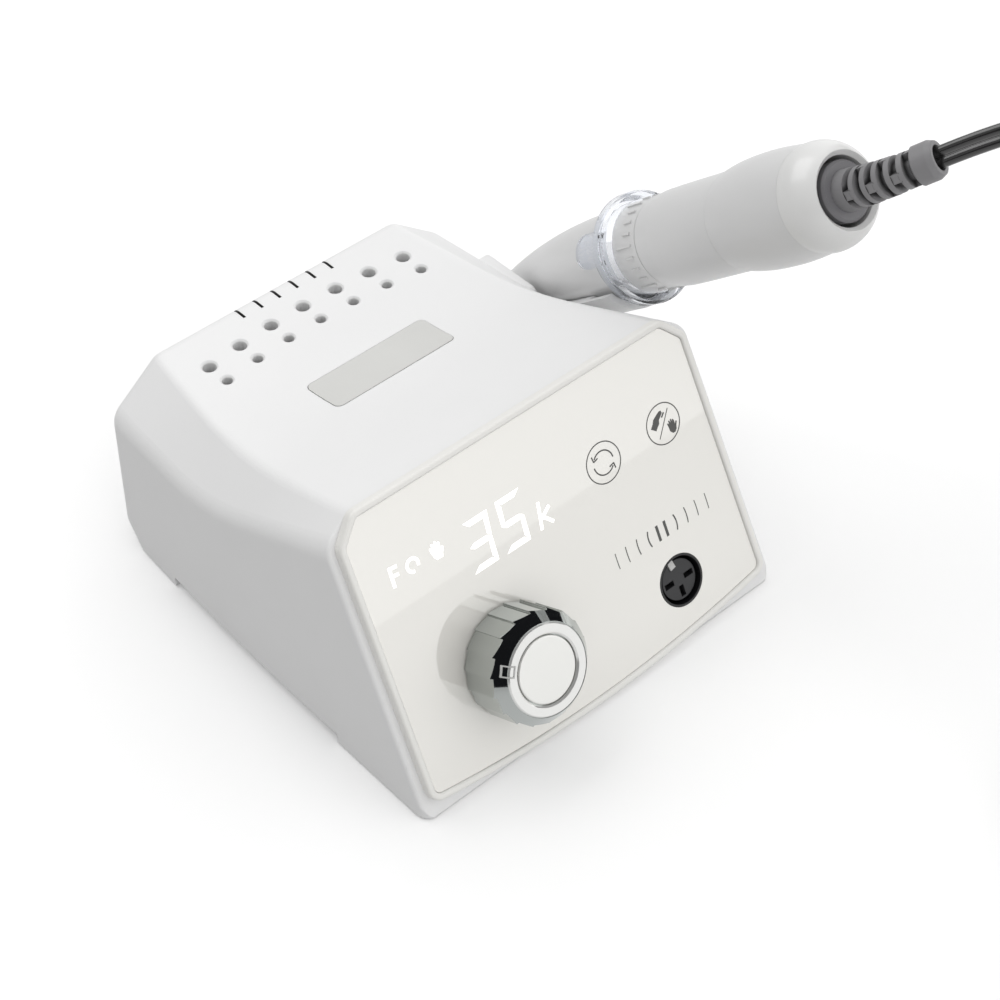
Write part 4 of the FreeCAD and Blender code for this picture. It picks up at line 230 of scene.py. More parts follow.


# Finishes with a gap width get painted shade in their narrow slots and grooves: the shell, the
# terminal disc and the strain relief
FINISH_FACTS = {
    "shell_white": dict(
        colour=(239, 239, 239), roughness=0.42, mottle=0.004, grain=0.1, grain_size=0.0006,
        edge=0.0004, crevice=0.0013,
    ),
    "bezel_ivory": dict(
        colour=(240, 239, 235), roughness=0.33, mottle=0.004, grain=0.03, grain_size=0.001,
    ),
    "panel_gloss": dict(
        colour=(244, 242, 236), roughness=0.16, rough_spread=0.02, mottle=0.004,
        mottle_size=0.08, grain=0.015, grain_size=0.004, edge=0.0,
        Coat_Weight=1.0, Coat_Roughness=0.012, Coat_IOR=2.15,
    ),
    "badge_grey": dict(
        colour=(214, 214, 211), roughness=0.32, grain=0.05, grain_size=0.0004, edge=0.0002,
    ),
    "rubber_grey": dict(colour=(92, 92, 94), roughness=0.8, grain=0.3, grain_size=0.0006),
    "zinc_steel": dict(
        colour=(176, 178, 180), roughness=0.32, metallic=1.0, grain=0.1, grain_size=0.0003,
    ),
    "board_green": dict(
        colour=(26, 82, 52), roughness=0.45, mottle=0.08, mottle_size=0.004, grain=0.2,
    ),
    "display_white": dict(
        colour=(250, 250, 248), roughness=0.4, mottle=0.004, edge=0.0,
        Emission_Color=(1.0, 1.0, 0.985, 1.0), Emission_Strength=0.85,
    ),
    "copper_foil": dict(colour=(196, 120, 80), roughness=0.35, metallic=1.0),
    "knob_chrome": dict(
        colour=(190, 194, 192), roughness=0.07, metallic=1.0, rough_spread=0.02, mottle=0.005,
        edge=0.00022,
    ),
    "knob_ring": dict(
        colour=(240, 240, 238), roughness=0.1, metallic=0.6, rough_spread=0.02, mottle=0.003,
        edge=0.0002,
    ),
    "knob_cap_silver": dict(
        colour=(240, 240, 237), roughness=0.22, metallic=0.5, rough_spread=0.03, mottle=0.004,
        edge=0.0002, grain=0.04, grain_size=0.0006,
    ),
    "mark_dark": dict(
        colour=(84, 84, 82), roughness=0.4, mottle=0.02, mottle_size=0.004, edge=0.0,
    ),
    "socket_black": dict(
        colour=(24, 24, 26), roughness=0.34, mottle=0.05, grain=0.1, grain_size=0.0005,
    ),
    "insert_dark": dict(
        colour=(42, 42, 44), roughness=0.42, mottle=0.04, grain=0.15, grain_size=0.0004,
    ),
    "contact_tin": dict(colour=(110, 108, 102), roughness=0.35, metallic=1.0),
    "key_grey": dict(colour=(196, 196, 194), roughness=0.45, mottle=0.03, mottle_size=0.002),
    "nylon_white": dict(colour=(226, 222, 208), roughness=0.5, grain=0.1),
    "sink_aluminium": dict(colour=(196, 198, 200), roughness=0.4, metallic=1.0, grain=0.2),
    "can_black": dict(colour=(40, 42, 60), roughness=0.35, mottle=0.05),
    "core_iron": dict(
        colour=(70, 70, 72), roughness=0.55, metallic=0.8, grain=0.4, mottle=0.06,
    ),
    "winding_copper": dict(colour=(180, 98, 52), roughness=0.35, metallic=0.9, grain=0.5),
    "rocker_black": dict(colour=(22, 22, 23), roughness=0.34, grain=0.1, edge=0.0004),
    "handpiece_white": dict(
        colour=(224, 224, 224), roughness=0.32, rough_spread=0.03, mottle=0.003, grain=0.04,
        grain_size=0.0008, edge=0.0003, Coat_Weight=0.4, Coat_Roughness=0.12,
    ),
    "ring_clear": dict(
        colour=(244, 246, 250), roughness=0.01, rough_spread=0.01, mottle=0.004, edge=0.0,
        Transmission_Weight=1.0, IOR=1.22,
    ),
    "tool_steel": dict(
        colour=(168, 168, 170), roughness=0.34, metallic=1.0, grain=0.15, stretch=(1, 1, 12),
    ),
    "bearing_steel": dict(colour=(190, 190, 192), roughness=0.2, metallic=1.0),
    "brass_sleeve": dict(colour=(196, 160, 84), roughness=0.34, metallic=1.0, grain=0.1),
    "magnet_dark": dict(colour=(66, 66, 70), roughness=0.5, metallic=0.5, grain=0.3),
    "rotor_iron": dict(
        colour=(96, 90, 84), roughness=0.5, metallic=0.8, grain=0.5, grain_size=0.0004,
    ),
    "holder_brown": dict(colour=(96, 62, 40), roughness=0.5, mottle=0.05, grain=0.2),
    "brush_carbon": dict(colour=(38, 38, 40), roughness=0.7, grain=0.4),
    "lip_white": dict(
        colour=(233, 233, 232), roughness=0.32, rough_spread=0.03, mottle=0.003, grain=0.03,
        edge=0.0004, Coat_Weight=0.4, Coat_Roughness=0.12,
    ),
    "disc_grey": dict(
        colour=(120, 119, 122), roughness=0.42, grain=0.12, mottle=0.03, crevice=0.0016,
    ),
    "relief_grey": dict(
        colour=(140, 139, 141), roughness=0.45, mottle=0.02, grain=0.12, grain_size=0.0004,
        edge=0.0004, crevice=0.0016,
    ),
    "holder_white": dict(
        colour=(234, 234, 234), roughness=0.42, mottle=0.004, grain=0.08, grain_size=0.0006,
        edge=0.0004,
    ),
    "cord_smoke": dict(
        colour=(44, 44, 44), roughness=0.13, mottle=0.03, mottle_size=0.02, edge=0.0,
        Coat_Weight=0.7, Coat_Roughness=0.05, Coat_IOR=1.55,
    ),
    "plug_dark": dict(
        colour=(52, 52, 56), roughness=0.4, grain=0.15, mottle=0.03, edge=0.0004,
    ),
}

FINISHES = {name: finish_of(name, **facts) for name, facts in FINISH_FACTS.items()}

NODES_WITH_FINISH = {
    "shell_white": ("upper_shell", "base_plate"),
    "bezel_ivory": ("panel_bezel",),
    "panel_gloss": ("front_panel",),
    "badge_grey": ("badge_plate",),
    "rubber_grey": ("rubber_feet",),
    "zinc_steel": (
        "base_screws", "speed_potentiometer", "inside_screws", "inlet_pins", "switch_pin",
        "panel_nuts", "motor_can", "motor_end_plates", "holder_screws",
    ),
    "board_green": ("front_board", "main_board"),
    "display_white": ("display_module",),
    "copper_foil": ("touch_sensor_pads",),
    "knob_chrome": ("speed_knob",),
    "knob_ring": ("knob_front_ring",),
    "knob_cap_silver": ("knob_cap",),
    "socket_black": ("din_socket_body", "board_components", "pedal_jack"),
    "insert_dark": ("din_socket_insert",),
    "contact_tin": ("din_socket_contacts", "plug_contacts"),
    "key_grey": ("knob_index_mark", "din_socket_key"),
    "nylon_white": ("board_standoffs",),
    "sink_aluminium": ("heat_sink",),
    "can_black": ("capacitors",),
    "core_iron": ("transformer_core",),
    "winding_copper": ("transformer_winding",),
    "rocker_black": ("mains_inlet", "switch_frame", "power_rocker"),
    "handpiece_white": (
        "nose_cone", "nose_tip_ring", "twist_collar", "motor_sleeve", "rear_housing",
    ),
    "ring_clear": ("guard_ring",),
    "tool_steel": ("knob_shaft", "chuck_spindle"),
    "bearing_steel": ("chuck_bearings", "motor_bearings"),
    "brass_sleeve": ("release_sleeve",),
    "magnet_dark": ("motor_magnets",),
    "rotor_iron": ("motor_rotor",),
    "holder_brown": ("brush_holder",),
    "brush_carbon": ("brushes",),
    "lip_white": ("rear_lip",),
    "disc_grey": ("terminal_disc",),
    "relief_grey": ("strain_relief",),
    "holder_white": ("handpiece_holder",),
    "plug_dark": ("plug_body",),
}


def dress_nodes():
    """Give each CAD node its finish."""
    for finish, names in NODES_WITH_FINISH.items():
        for name in names:
            materials = NODES[name].data.materials
            materials.clear()
            materials.append(FINISHES[finish])


dress_nodes()


# Pieces in mesh code

PRINT_LOW, PRINT_HIGH = -0.02, 0.03


def new_piece(name, mesh, slot, body, smooth=True):
    """Put a finished mesh in the scene, on its body."""
    mesh.name = name
    piece = bpy.data.objects.new(name, mesh)
    bpy.context.scene.collection.objects.link(piece)
    mesh.materials.append(FINISHES[slot])
    for face in mesh.polygons:
        face.use_smooth = smooth
    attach(piece, body)
    return piece


def mesh_from(bm):
    """Mesh of a finished bmesh, its faces turned outwards."""
    bmesh.ops.recalc_face_normals(bm, faces=bm.faces)
    mesh = bpy.data.meshes.new("shape")
    bm.to_mesh(mesh)
    bm.free()
    return mesh


def skin(bm, a, b):
    """Faces between two rings with as many points each."""
    for k in range(len(a)):
        m = (k + 1) % len(a)
        bm.faces.new((a[k], a[m], b[m], b[k]))


def arc(centre, radius, start, end, steps):
    """Points on an arc, angles in degrees."""
    made = []
    for i in range(steps + 1):
        angle = math.radians(start + (end - start) * i / steps)
        made.append((centre[0] + radius * math.cos(angle), centre[1] + radius * math.sin(angle)))
    return made


class Print:
    """Thin flat signs on the front panel, in the millimetres of its frame."""

    def __init__(self):
        self.bm = bmesh.new()

    def prism(self, outline):
        """Sign over an outline that turns to the left."""
        low, high = (
            [self.bm.verts.new((x, y, level)) for x, y in outline]
            for level in (PRINT_LOW, PRINT_HIGH)
        )
        self.bm.faces.new(list(reversed(low)))
        self.bm.faces.new(high)
        skin(self.bm, low, high)

    def sign(self, outline, centre, scale=1.0):
        """An outline drawn round the origin, put in its place."""
        self.prism([(centre[0] + x * scale, centre[1] + y * scale) for x, y in outline])

    def stroke(self, points, width, closed=False):
        """Band of one width along a line."""
        count = len(points)
        points = [Vector(p) for p in points]
        sections = []
        for i, point in enumerate(points):
            before = points[(i - 1) % count] if closed or i else point
            after = points[(i + 1) % count] if closed or i < count - 1 else point
            way = (after - before).normalized()
            side = Vector((-way.y, way.x)) * (width / 2)
            left, right = point + side, point - side
            corners = (
                (right, PRINT_LOW), (left, PRINT_LOW), (left, PRINT_HIGH), (right, PRINT_HIGH),
            )
            sections.append([self.bm.verts.new((c.x, c.y, z)) for c, z in corners])
        for i in range(count if closed else count - 1):
            skin(self.bm, sections[i], sections[(i + 1) % count])
        if not closed:
            self.bm.faces.new(sections[0])
            self.bm.faces.new(list(reversed(sections[-1])))

    def bar(self, start, end, width):
        self.stroke([start, end], width)

    def finish(self, name, slot):
        self.bm.transform(PANEL)
        new_piece(name, mesh_from(self.bm), slot, "control_unit", smooth=False)


# Cord: the same route as the CAD solid's, as the control points of one smooth line.
# Lengths are millimetres. A run is its length, its compass angle and its rise in degrees.

CORD_RUNS = (
    (18.0, -53.0, 27.0), (18.0, -61.0, 2.0), (17.5, -72.0, -23.0), (17.5, -82.0, -48.0),
    (18.0, -90.0, -70.0), (21.0, -90.0, -83.0), (23.5, -90.0, -88.0), (24.0, -90.0, -89.5),
    (21.6, -90.0, -86.0), (15.5, -90.0, -74.0), (13.0, -90.0, -56.0), (13.0, -90.0, -37.0),
    (13.0, -90.0, -18.0), (12.5, -90.0, 0.0),
)
FIRST_RUN = 12.0
LINE_RESOLUTION = 10

STRAND = 1.5  # radius of one of the two strands
STRAND_OFFSET = 1.46  # from the middle of the cord to the middle of a strand
STRAND_STEPS = 22
FIRST_SIDE = (0.198, 0.72, 0.665)  # way across the pair where it leaves the handpiece
TWIST_FROM = 0.15  # share of the free stretch before the cord starts to turn flat

LAY = 1.56  # height of the cord's middle on the table
LANDED = 0.4  # how near to that height counts as landed
LAYER_GAP = 0.1  # between the lower and the upper turns
COIL_RADIUS = 41.4
COIL_PITCH = 6.6
COIL_QUARTERS = 21
QUARTERS_IN, QUARTERS_CLIMB, QUARTERS_LIFT = 9, 3, 1.5
COIL_STEPS = 4  # control points to a quarter turn
TAIL = 20.0
PLUG_HEIGHT = 9.65

RELIEF_START = 159.8  # along the handpiece
RELIEF_LENGTH, RELIEF_STRAIGHT, RELIEF_COLLAR = 30.0, 4.0, 4.6
RELIEF_BEND = math.radians(24.0)
MOUTH_DEPTH = 1.3


def eased(part):
    """Smooth step from 0 to 1."""
    part = min(max(part, 0.0), 1.0)
    return part * part * (3 - 2 * part)


def relief_end():
    """Where the cord leaves its strain relief, and its way there, in the machine's frame."""
    bent = RELIEF_LENGTH - RELIEF_STRAIGHT - RELIEF_COLLAR
    radius = bent / RELIEF_BEND
    local = Vector((
        radius * (1 - math.cos(RELIEF_BEND)),
        0.0,
        RELIEF_START + RELIEF_STRAIGHT + radius * math.sin(RELIEF_BEND),
    ))
    heading = Vector((math.sin(RELIEF_BEND), 0.0, math.cos(RELIEF_BEND)))
    local += heading * RELIEF_COLLAR
    to_machine = MACHINE.inverted() @ HAND
    return to_machine @ local, (to_machine.to_3x3() @ heading).normalized()


def free_points():
    """Control points of the free stretch, from the strain relief to the table."""
    mouth, heading = relief_end()
    points = [mouth - heading * MOUTH_DEPTH, mouth + heading * FIRST_RUN]
    for length, compass, rise in CORD_RUNS:
        turn, climb = math.radians(compass), math.radians(rise)
        flat = math.cos(climb)
        way = Vector((flat * math.cos(turn), flat * math.sin(turn), math.sin(climb)))
        points.append(points[-1] + way * length)
    for point in points[-2:]:
        point.z = LAY
    return points


def coil_points(landing, way):
    """Control points of the coil and the short tail, from where the cord has landed.

    The turns run inwards, climb to a second layer, and run outwards and up to the plug.
    """
    outward = Vector((-way.y, way.x, 0.0))
    centre = landing - outward * COIL_RADIUS
    first = math.atan2(outward.y, outward.x)
    inside = math.cos(math.pi / 2 / COIL_STEPS)
    upper = LAY + 2 * STRAND + LAYER_GAP
    points = []
    for i in range(1, COIL_QUARTERS * COIL_STEPS + 1):
        quarter = i / COIL_STEPS
        radius = COIL_RADIUS - COIL_PITCH * min(quarter, COIL_QUARTERS - quarter) / 4
        radius /= 0.5 + 0.5 * inside
        angle = first - quarter * math.pi / 2
        climb = eased((quarter - QUARTERS_IN) / QUARTERS_CLIMB)
        lift = eased(1 + (quarter - COIL_QUARTERS) / QUARTERS_LIFT)
        height = LAY + (upper - LAY) * climb + (PLUG_HEIGHT - upper) * lift
        points.append(Vector((
            centre.x + radius * math.cos(angle), centre.y + radius * math.sin(angle), height,
        )))
    angle = first - COIL_QUARTERS * math.pi / 2
    rim = centre + Vector((math.cos(angle), math.sin(angle), 0.0)) * COIL_RADIUS
    away = Vector((math.sin(angle), -math.cos(angle), 0.0))
    points[-1] = Vector((rim.x, rim.y, PLUG_HEIGHT))
    points.append(Vector((*(rim + away * TAIL).xy, PLUG_HEIGHT)))
    return points


def line_points(points):
    """Points along the smooth line that these control points give, in metres."""
    curve = bpy.data.curves.new("route", "CURVE")
    curve.dimensions = "3D"
    curve.resolution_u = LINE_RESOLUTION
    spline = curve.splines.new("NURBS")
    spline.points.add(len(points) - 1)
    for target, point in zip(spline.points, points):
        target.co = (*(MACHINE @ point), 1.0)
    spline.order_u = 3
    spline.use_endpoint_u = True
    holder = bpy.data.objects.new("route", curve)
    bpy.context.scene.collection.objects.link(holder)
    bpy.context.view_layer.update()
    made = bpy.data.meshes.new_from_object(holder)
    line = [v.co.copy() for v in made.vertices]
    bpy.data.objects.remove(holder)
    bpy.data.meshes.remove(made)
    bpy.data.curves.remove(curve)
    return line


def way_at(line, i):
    """Direction of a line at one of its points."""
    return (line[min(i + 1, len(line) - 1)] - line[max(i - 1, 0)]).normalized()


def level_side(way):
    return way.cross(Vector((0, 0, 1))).normalized()


def cord_sides(line):
    """Side directions of the twin cord.

    Its broad side shows where it leaves the handpiece, and it lies flat on the table.
    """
    lengths = [0.0]
    carried = [Vector(FIRST_SIDE)]
    for a, b in zip(line, line[1:]):
        lengths.append(lengths[-1] + (b - a).length)
        way = (b - a).normalized()
        carried.append((carried[-1] - way * carried[-1].dot(way)).normalized())
    landing = next(i for i, point in enumerate(line) if point.z < (LAY + LANDED) * MM)
    way = way_at(line, landing)
    flat = level_side(way)
    there = carried[landing]
    angle = math.atan2(there.cross(flat).dot(way), there.dot(flat))
    if angle > math.pi / 2:
        angle -= math.pi
    if angle < -math.pi / 2:
        angle += math.pi
    sides = []
    for i in range(landing):
        part = (lengths[i] / lengths[landing] - TWIST_FROM) / (1 - TWIST_FROM)
        sides.append(Matrix.Rotation(angle * eased(part), 3, way_at(line, i)) @ carried[i])
    sense = -1 if sides[-1].dot(flat) < 0 else 1
    for i in range(landing, len(line)):
        sides.append(level_side(way_at(line, i)) * sense)
    return sides


def twin_section():
    """Outline of the two strands side by side, in mm: X across the pair."""
    neck = math.degrees(math.acos(STRAND_OFFSET / STRAND))
    right = arc((STRAND_OFFSET, 0.0), STRAND, -180 + neck, 180 - neck, STRAND_STEPS)
    left = [(-x, -y) for x, y in right]
    return right[:-1] + left[:-1]


def swept(line, sides, section):
    """Closed tube with this section, whose X follows the given side directions."""
    bm = bmesh.new()
    rings = []
    for i, point in enumerate(line):
        way = way_at(line, i)
        across = (sides[i] - way * sides[i].dot(way)).normalized()
        above = way.cross(across)
        rings.append([bm.verts.new(point + (across * x + above * y) * MM) for x, y in section])
    for a, b in zip(rings, rings[1:]):
        skin(bm, a, b)
    bm.faces.new(list(reversed(rings[0])))
    bm.faces.new(rings[-1])
    return mesh_from(bm)


def make_cord():
    points = free_points()
    points += coil_points(points[-1], (points[-1] - points[-2]).normalized())
    line = line_points(points)
    mesh = swept(line, cord_sides(line), twin_section())
    piece = new_piece("handpiece_cord", mesh, "cord_smoke", "handpiece")
    # The knob doesn't mirror what is put away outside the view.
    for thing in (piece, NODES["plug_body"], NODES["plug_contacts"]):
        thing.visible_glossy = False
    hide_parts("cord_stretch", "cord_coil")


make_cord()


# Lit signs of the display: two figures, then strokes as start, end and width

DIGIT_LEAN, DIGIT_THICK = 0.105, 2.0
SEGMENT_GAP = 0.16
SIDE_POINT, MIDDLE_POINT = 0.3, 0.5  # how far the middle tips of segments stand in
DIGITS = (  # left, low, width, height, segments
    (-27.7, 49.3, 8.9, 15.1, "abcdg"),
    (-16.1, 49.1, 8.9, 15.6, "acdfg"),
)
LIT_BARS = (
    ((-3.05, 49.6), (-1.5, 57.5), 1.05),
    ((-2.3, 52.4), (1.55, 54.9), 1.0),
    ((-1.5, 53.0), (1.4, 49.9), 1.0),
    ((-51.45, 59.4), (-51.1, 65.3), 1.0),
    ((-51.5, 64.85), (-48.7, 64.6), 0.95),
    ((-51.2, 62.55), (-48.9, 62.3), 0.9),
)
LIT_ARC = dict(centre=(-44.18, 62.2), radius=1.85, start=-29, end=270, steps=28)
LIT_ARC_LINE = 0.94
LIT_HAND_PLACE = (-36.0, 62.0)
LIT_HAND = (
    (-0.7, -2.5), (1.3, -2.55), (1.7, -1.3), (2.35, -0.3), (2.25, 0.35), (1.8, 0.3),
    (1.45, -0.1), (1.6, 1.8), (1.2, 2.1), (0.85, 1.8), (0.65, 0.6), (0.6, 2.4), (0.25, 2.75),
    (-0.1, 2.4), (-0.15, 0.7), (-0.55, 2.2), (-0.95, 2.45), (-1.2, 2.1), (-1.0, 0.4),
    (-1.5, 1.35), (-1.9, 1.6), (-2.05, 1.2), (-1.75, -0.4), (-1.4, -1.5),
)


def segment_plans(width, height):
    """Outlines of the seven segments of an upright figure."""
    t, half, middle = DIGIT_THICK, DIGIT_THICK / 2, height / 2
    right = width - t
    side, tip = SIDE_POINT, MIDDLE_POINT
    return {
        "a": [(0, height), (t, height - t), (right, height - t), (width, height)],
        "b": [(width, height), (right, height - t), (right, middle + half),
              (width - side, middle)],
        "c": [(width - side, middle), (right, middle - half), (right, t), (width, 0)],
        "d": [(0, 0), (width, 0), (right, t), (t, t)],
        "e": [(0, 0), (t, t), (t, middle - half), (side, middle)],
        "f": [(side, middle), (t, middle + half), (t, height - t), (0, height)],
        "g": [(tip, middle), (t, middle - half), (right, middle - half), (width - tip, middle),
              (right, middle + half), (t, middle + half)],
    }


def pulled_in(value, centre):
    """A coordinate moved towards the centre by the gap between segments."""
    return value - math.copysign(min(SEGMENT_GAP, abs(value - centre)), value - centre)


def segment_digit(ink, left, low, width, height, lit):
    """A figure of seven leaning segments."""
    plans = segment_plans(width, height)
    for key in lit:
        plan = plans[key]
        cx, cy = (sum(p[axis] for p in plan) / len(plan) for axis in (0, 1))
        outline = []
        for x, y in plan:
            x, y = pulled_in(x, cx), pulled_in(y, cy)
            outline.append((left + x + DIGIT_LEAN * y, low + y))
        area = sum(a[0] * b[1] - b[0] * a[1] for a, b in zip(outline, outline[1:] + outline[:1]))
        ink.prism(outline if area > 0 else outline[::-1])


def make_display():
    """Lit signs of the display, as they shine through the panel."""
    ink = Print()
    for digit in DIGITS:
        segment_digit(ink, *digit)
    for start, end, width in LIT_BARS:
        ink.bar(start, end, width)
    ink.stroke(arc(**LIT_ARC), LIT_ARC_LINE)
    ink.sign(LIT_HAND, LIT_HAND_PLACE)
    ink.finish("display_signs", "display_white")


make_display()


# Dark prints of the panel: two touch keys and a level scale

TURN_KEY, CHOICE_KEY = (23.0, 56.6), (46.2, 56.6)
KEY_RADIUS, KEY_LINE, KEY_STEPS = 6.05, 0.34, 72
ARROW_RADIUS, ARROW_LINE, ARROW_STEPS = 3.55, 0.42, 20
ARROW_ARC, ARROW_TIP = 140, 152  # degrees to the end of the bow and to the tip
BARB_LENGTH, BARB_ANGLE = 1.75, math.radians(40)
SLASH = ((43.5, 52.9), (49.2, 60.1), 0.3)
FOOT_STROKE = ((46.3, 58.5), (47.5, 59.6), 0.5)
FOOT_OUTLINE = (
    (41.6, 57.1), (43.2, 55.7), (44.1, 56.6), (44.9, 57.2), (45.2, 58.3), (46.9, 59.7),
    (46.75, 60.5), (46.1, 60.65), (44.7, 60.0), (43.3, 59.2), (42.7, 58.2),
)
HAND_PLACE, HAND_SCALE = (49.0, 54.4), 0.88
HAND_OUTLINE = (
    (-0.55, -2.3), (0.5, -2.35), (1.35, -1.5), (1.6, -0.5), (2.25, 0.75), (1.85, 1.05),
    (1.2, 0.2), (1.25, 1.5), (0.85, 2.2), (0.55, 2.1), (0.45, 1.2), (0.25, 2.5), (-0.2, 2.55),
    (-0.3, 1.3), (-0.65, 2.35), (-1.1, 2.25), (-1.0, 1.1), (-1.45, 1.7), (-1.8, 1.45),
    (-1.55, 0.2), (-1.5, -1.2),
)
LEVEL_TICKS = (  # place, width of the line, how far its middle bows to the right
    (16.7, 0.28, -0.05), (20.7, 0.3, -0.12), (25.0, 0.36, -0.25), (29.4, 0.44, -0.5),
    (39.5, 0.44, 0.5), (43.8, 0.36, 0.25), (48.0, 0.3, 0.12), (52.2, 0.28, 0.05),
)
TICK_STEPS = (-1, -0.6, -0.2, 0.2, 0.6, 1)
LEVEL_MIDDLE, LEVEL_HALF = 28.0, 2.5
MIDDLE_BARS, MIDDLE_BAR_WIDTH = (32.8, 35.8), 0.95


def make_marks():
    """Printed touch keys and level scale."""
    ink = Print()
    for place in (TURN_KEY, CHOICE_KEY):
        ring = arc(place, KEY_RADIUS, 0, 360, KEY_STEPS)[:-1]
        ink.stroke(ring, KEY_LINE, closed=True)
    for turn in (0, 180):
        bow = arc(TURN_KEY, ARROW_RADIUS, turn, ARROW_ARC + turn, ARROW_STEPS)
        ink.stroke(bow, ARROW_LINE)
        tip = Vector(arc(TURN_KEY, ARROW_RADIUS, ARROW_TIP + turn, ARROW_TIP + turn, 1)[0])
        along = (tip - Vector(bow[-1])).normalized()
        for side in (-1, 1):
            back = Matrix.Rotation(side * BARB_ANGLE, 2) @ (-along)
            ink.bar(tuple(tip), tuple(tip + back * BARB_LENGTH), ARROW_LINE)
    ink.bar(*SLASH)
    ink.prism(FOOT_OUTLINE)
    ink.bar(*FOOT_STROKE)
    ink.sign(HAND_OUTLINE, HAND_PLACE, HAND_SCALE)
    for place, width, bow in LEVEL_TICKS:
        ink.stroke(
            [(place + bow * (1 - t * t), LEVEL_MIDDLE + LEVEL_HALF * t) for t in TICK_STEPS],
            width,
        )
    for place in MIDDLE_BARS:
        ink.bar(
            (place, LEVEL_MIDDLE - LEVEL_HALF), (place, LEVEL_MIDDLE + LEVEL_HALF),
            MIDDLE_BAR_WIDTH,
        )
    ink.finish("panel_marks", "mark_dark")


make_marks()


# Stage, light and world

WHITE = grey(1)
BRIGHT_WAY = (0.75, -0.66, 0.0)  # the side of the room that is brighter

FLOOR_HALF = 6.0
FLOOR_TONES = grey(0.88), grey(0.9)
FLOOR_PATCH = 0.5
FLOOR_BOUNCE = grey(0.52)
FLOOR_GLOW = 0.17
FLOOR_MIRRORED = (0.62, 0.97)  # how bright mirrors see it, from its dim to its bright side
FLOOR_SIDES = (-0.15, 0.25)  # where those sides are, in metres

ROOM_LOW, ROOM_HIGH = (0.985, 0.985, 0.98, 1), grey(0.79)
ROOM_RISE = (0.05, 0.6)  # sines of the heights between which it changes
SIDE_DIM, SIDE_BRIGHT = grey(0.34), grey(1.4)
SIDE_SPAN = (-0.9, 0.6)  # reach along BRIGHT_WAY between which it changes

DARK_TONE = (0.012, 0.012, 0.014, 1)
CAMERA_WAY = (-0.459, -0.531, 0.712)
CAMERA_PATCH = (0.70, 0.82)  # cosines from its rim to where it is fully dark
ARCH_NORMAL = (0.242, -0.968, -0.066)
ARCH_EDGE = (0.24, 0.28)  # sines of its half width, dark and clear

LAMP_PLACE, LAMP_TARGET = (-0.2, 0.75, 1.1), (0.0, 0.0, 0.05)
LAMP_SIZE = (1.1, 0.9)
LAMP_POWER = 6.0


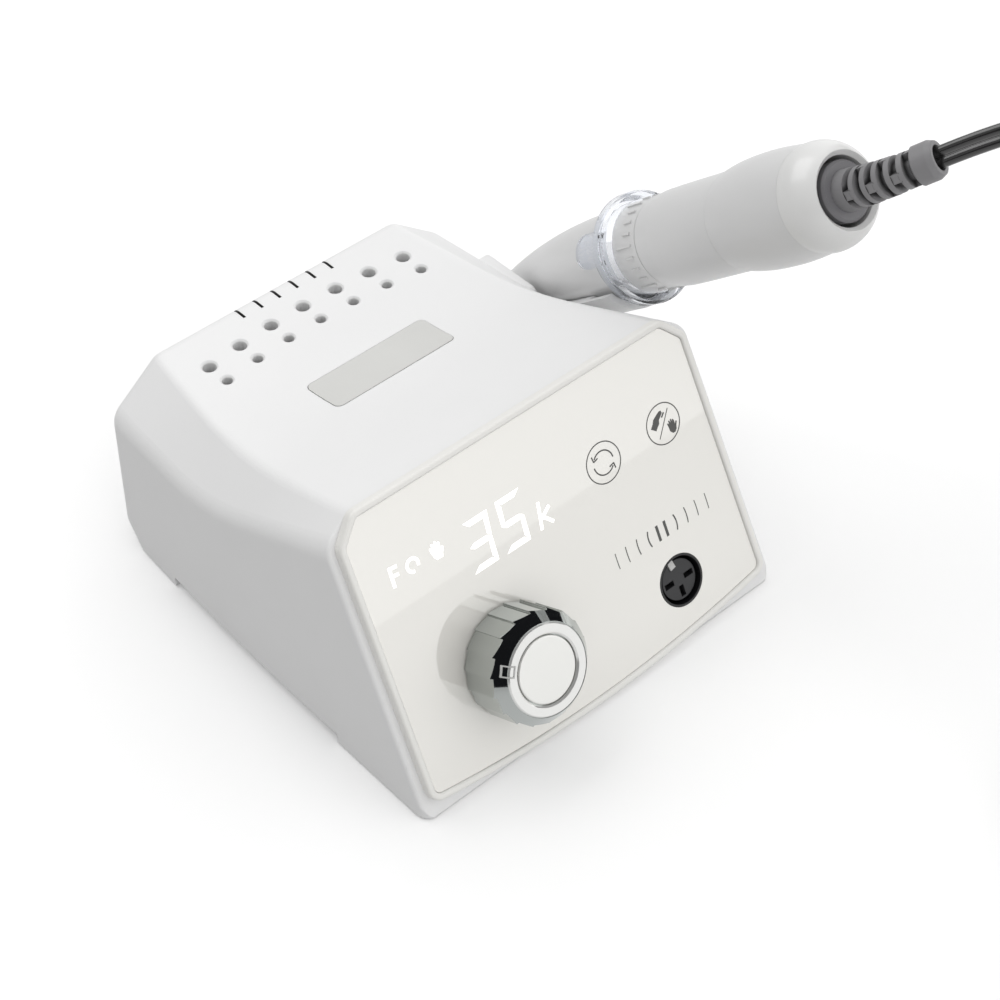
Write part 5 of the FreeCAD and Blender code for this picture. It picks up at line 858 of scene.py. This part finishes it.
def make_floor():
    """White floor that keeps the shadow; other rays and mirrors see it plainer."""
    mesh = bpy.data.meshes.new("floor")
    h = FLOOR_HALF
    mesh.from_pydata([(-h, -h, 0), (h, -h, 0), (h, h, 0), (-h, h, 0)], [], [(0, 1, 2, 3)])
    floor = bpy.data.objects.new("floor", mesh)
    bpy.context.scene.collection.objects.link(floor)
    made = bpy.data.materials.new("floor_white")
    made.use_nodes = True
    n = Nodes(made.node_tree)
    where = n.add("ShaderNodeTexCoord").outputs["Object"]
    matte = n.add("ShaderNodeBsdfDiffuse", {
        "Color": n.mix(n.noise(where, FLOOR_PATCH), *FLOOR_TONES),
    })
    glow = n.add("ShaderNodeEmission", {"Color": WHITE, "Strength": FLOOR_GLOW})
    both = n.add("ShaderNodeAddShader", {0: matte.outputs[0], 1: glow.outputs[0]})
    bounced = n.add("ShaderNodeBsdfDiffuse", {"Color": FLOOR_BOUNCE})
    strength = n.spread(n.along(where, BRIGHT_WAY), *FLOOR_MIRRORED, *FLOOR_SIDES)
    mirrored = n.add("ShaderNodeEmission", {"Color": WHITE, "Strength": strength})
    seen, glossy = n.rays()
    unseen = n.add("ShaderNodeMixShader", {
        0: glossy, 1: bounced.outputs[0], 2: mirrored.outputs[0],
    })
    chosen = n.add("ShaderNodeMixShader", {0: seen, 1: unseen.outputs[0], 2: both.outputs[0]})
    n.finish("ShaderNodeOutputMaterial", chosen)
    mesh.materials.append(made)


def make_world():
    """Pale room, brighter near the ground and to one side, and white where the camera sees it.

    Mirrors also see a dark arch overhead and a dark place round the camera.
    """
    world = bpy.data.worlds.new("studio")
    bpy.context.scene.world = world
    world.use_nodes = True
    n = Nodes(world.node_tree)
    way = n.add("ShaderNodeTexCoord").outputs["Generated"]
    rise = n.add("ShaderNodeSeparateXYZ", {0: way}).outputs["Z"]
    room = n.mix(n.spread(rise, 0.0, 1.0, *ROOM_RISE), ROOM_LOW, ROOM_HIGH)
    share = n.spread(n.along(way, BRIGHT_WAY), 0.0, 1.0, *SIDE_SPAN)
    lit = n.mix(1.0, room, n.mix(share, SIDE_DIM, SIDE_BRIGHT), blend="MULTIPLY")
    near_camera = n.spread(n.along(way, CAMERA_WAY), 0.0, 1.0, *CAMERA_PATCH)
    off_arch = n.sum("ABSOLUTE", n.along(way, ARCH_NORMAL))
    in_arch = n.spread(off_arch, 1.0, 0.0, *ARCH_EDGE)
    seen, glossy = n.rays()
    dark = n.sum("MULTIPLY", n.sum("MAXIMUM", in_arch, near_camera), glossy)
    around = n.add("ShaderNodeBackground", {
        "Color": n.mix(dark, lit, DARK_TONE), "Strength": 1.0,
    })
    plain = n.add("ShaderNodeBackground", {"Color": WHITE, "Strength": 1.0})
    chosen = n.add("ShaderNodeMixShader", {
        0: seen, 1: around.outputs[0], 2: plain.outputs[0],
    })
    n.finish("ShaderNodeOutputWorld", chosen)


def make_key_light():
    data = bpy.data.lights.new("key", "AREA")
    data.shape = "RECTANGLE"
    data.size, data.size_y = LAMP_SIZE
    data.energy = LAMP_POWER
    light = bpy.data.objects.new("key", data)
    light.location = LAMP_PLACE
    towards = Vector(LAMP_TARGET) - Vector(LAMP_PLACE)
    light.rotation_euler = towards.to_track_quat("-Z", "Y").to_euler()
    bpy.context.scene.collection.objects.link(light)


make_floor()
make_world()
make_key_light()

bpy.context.scene.view_settings.view_transform = "Standard"
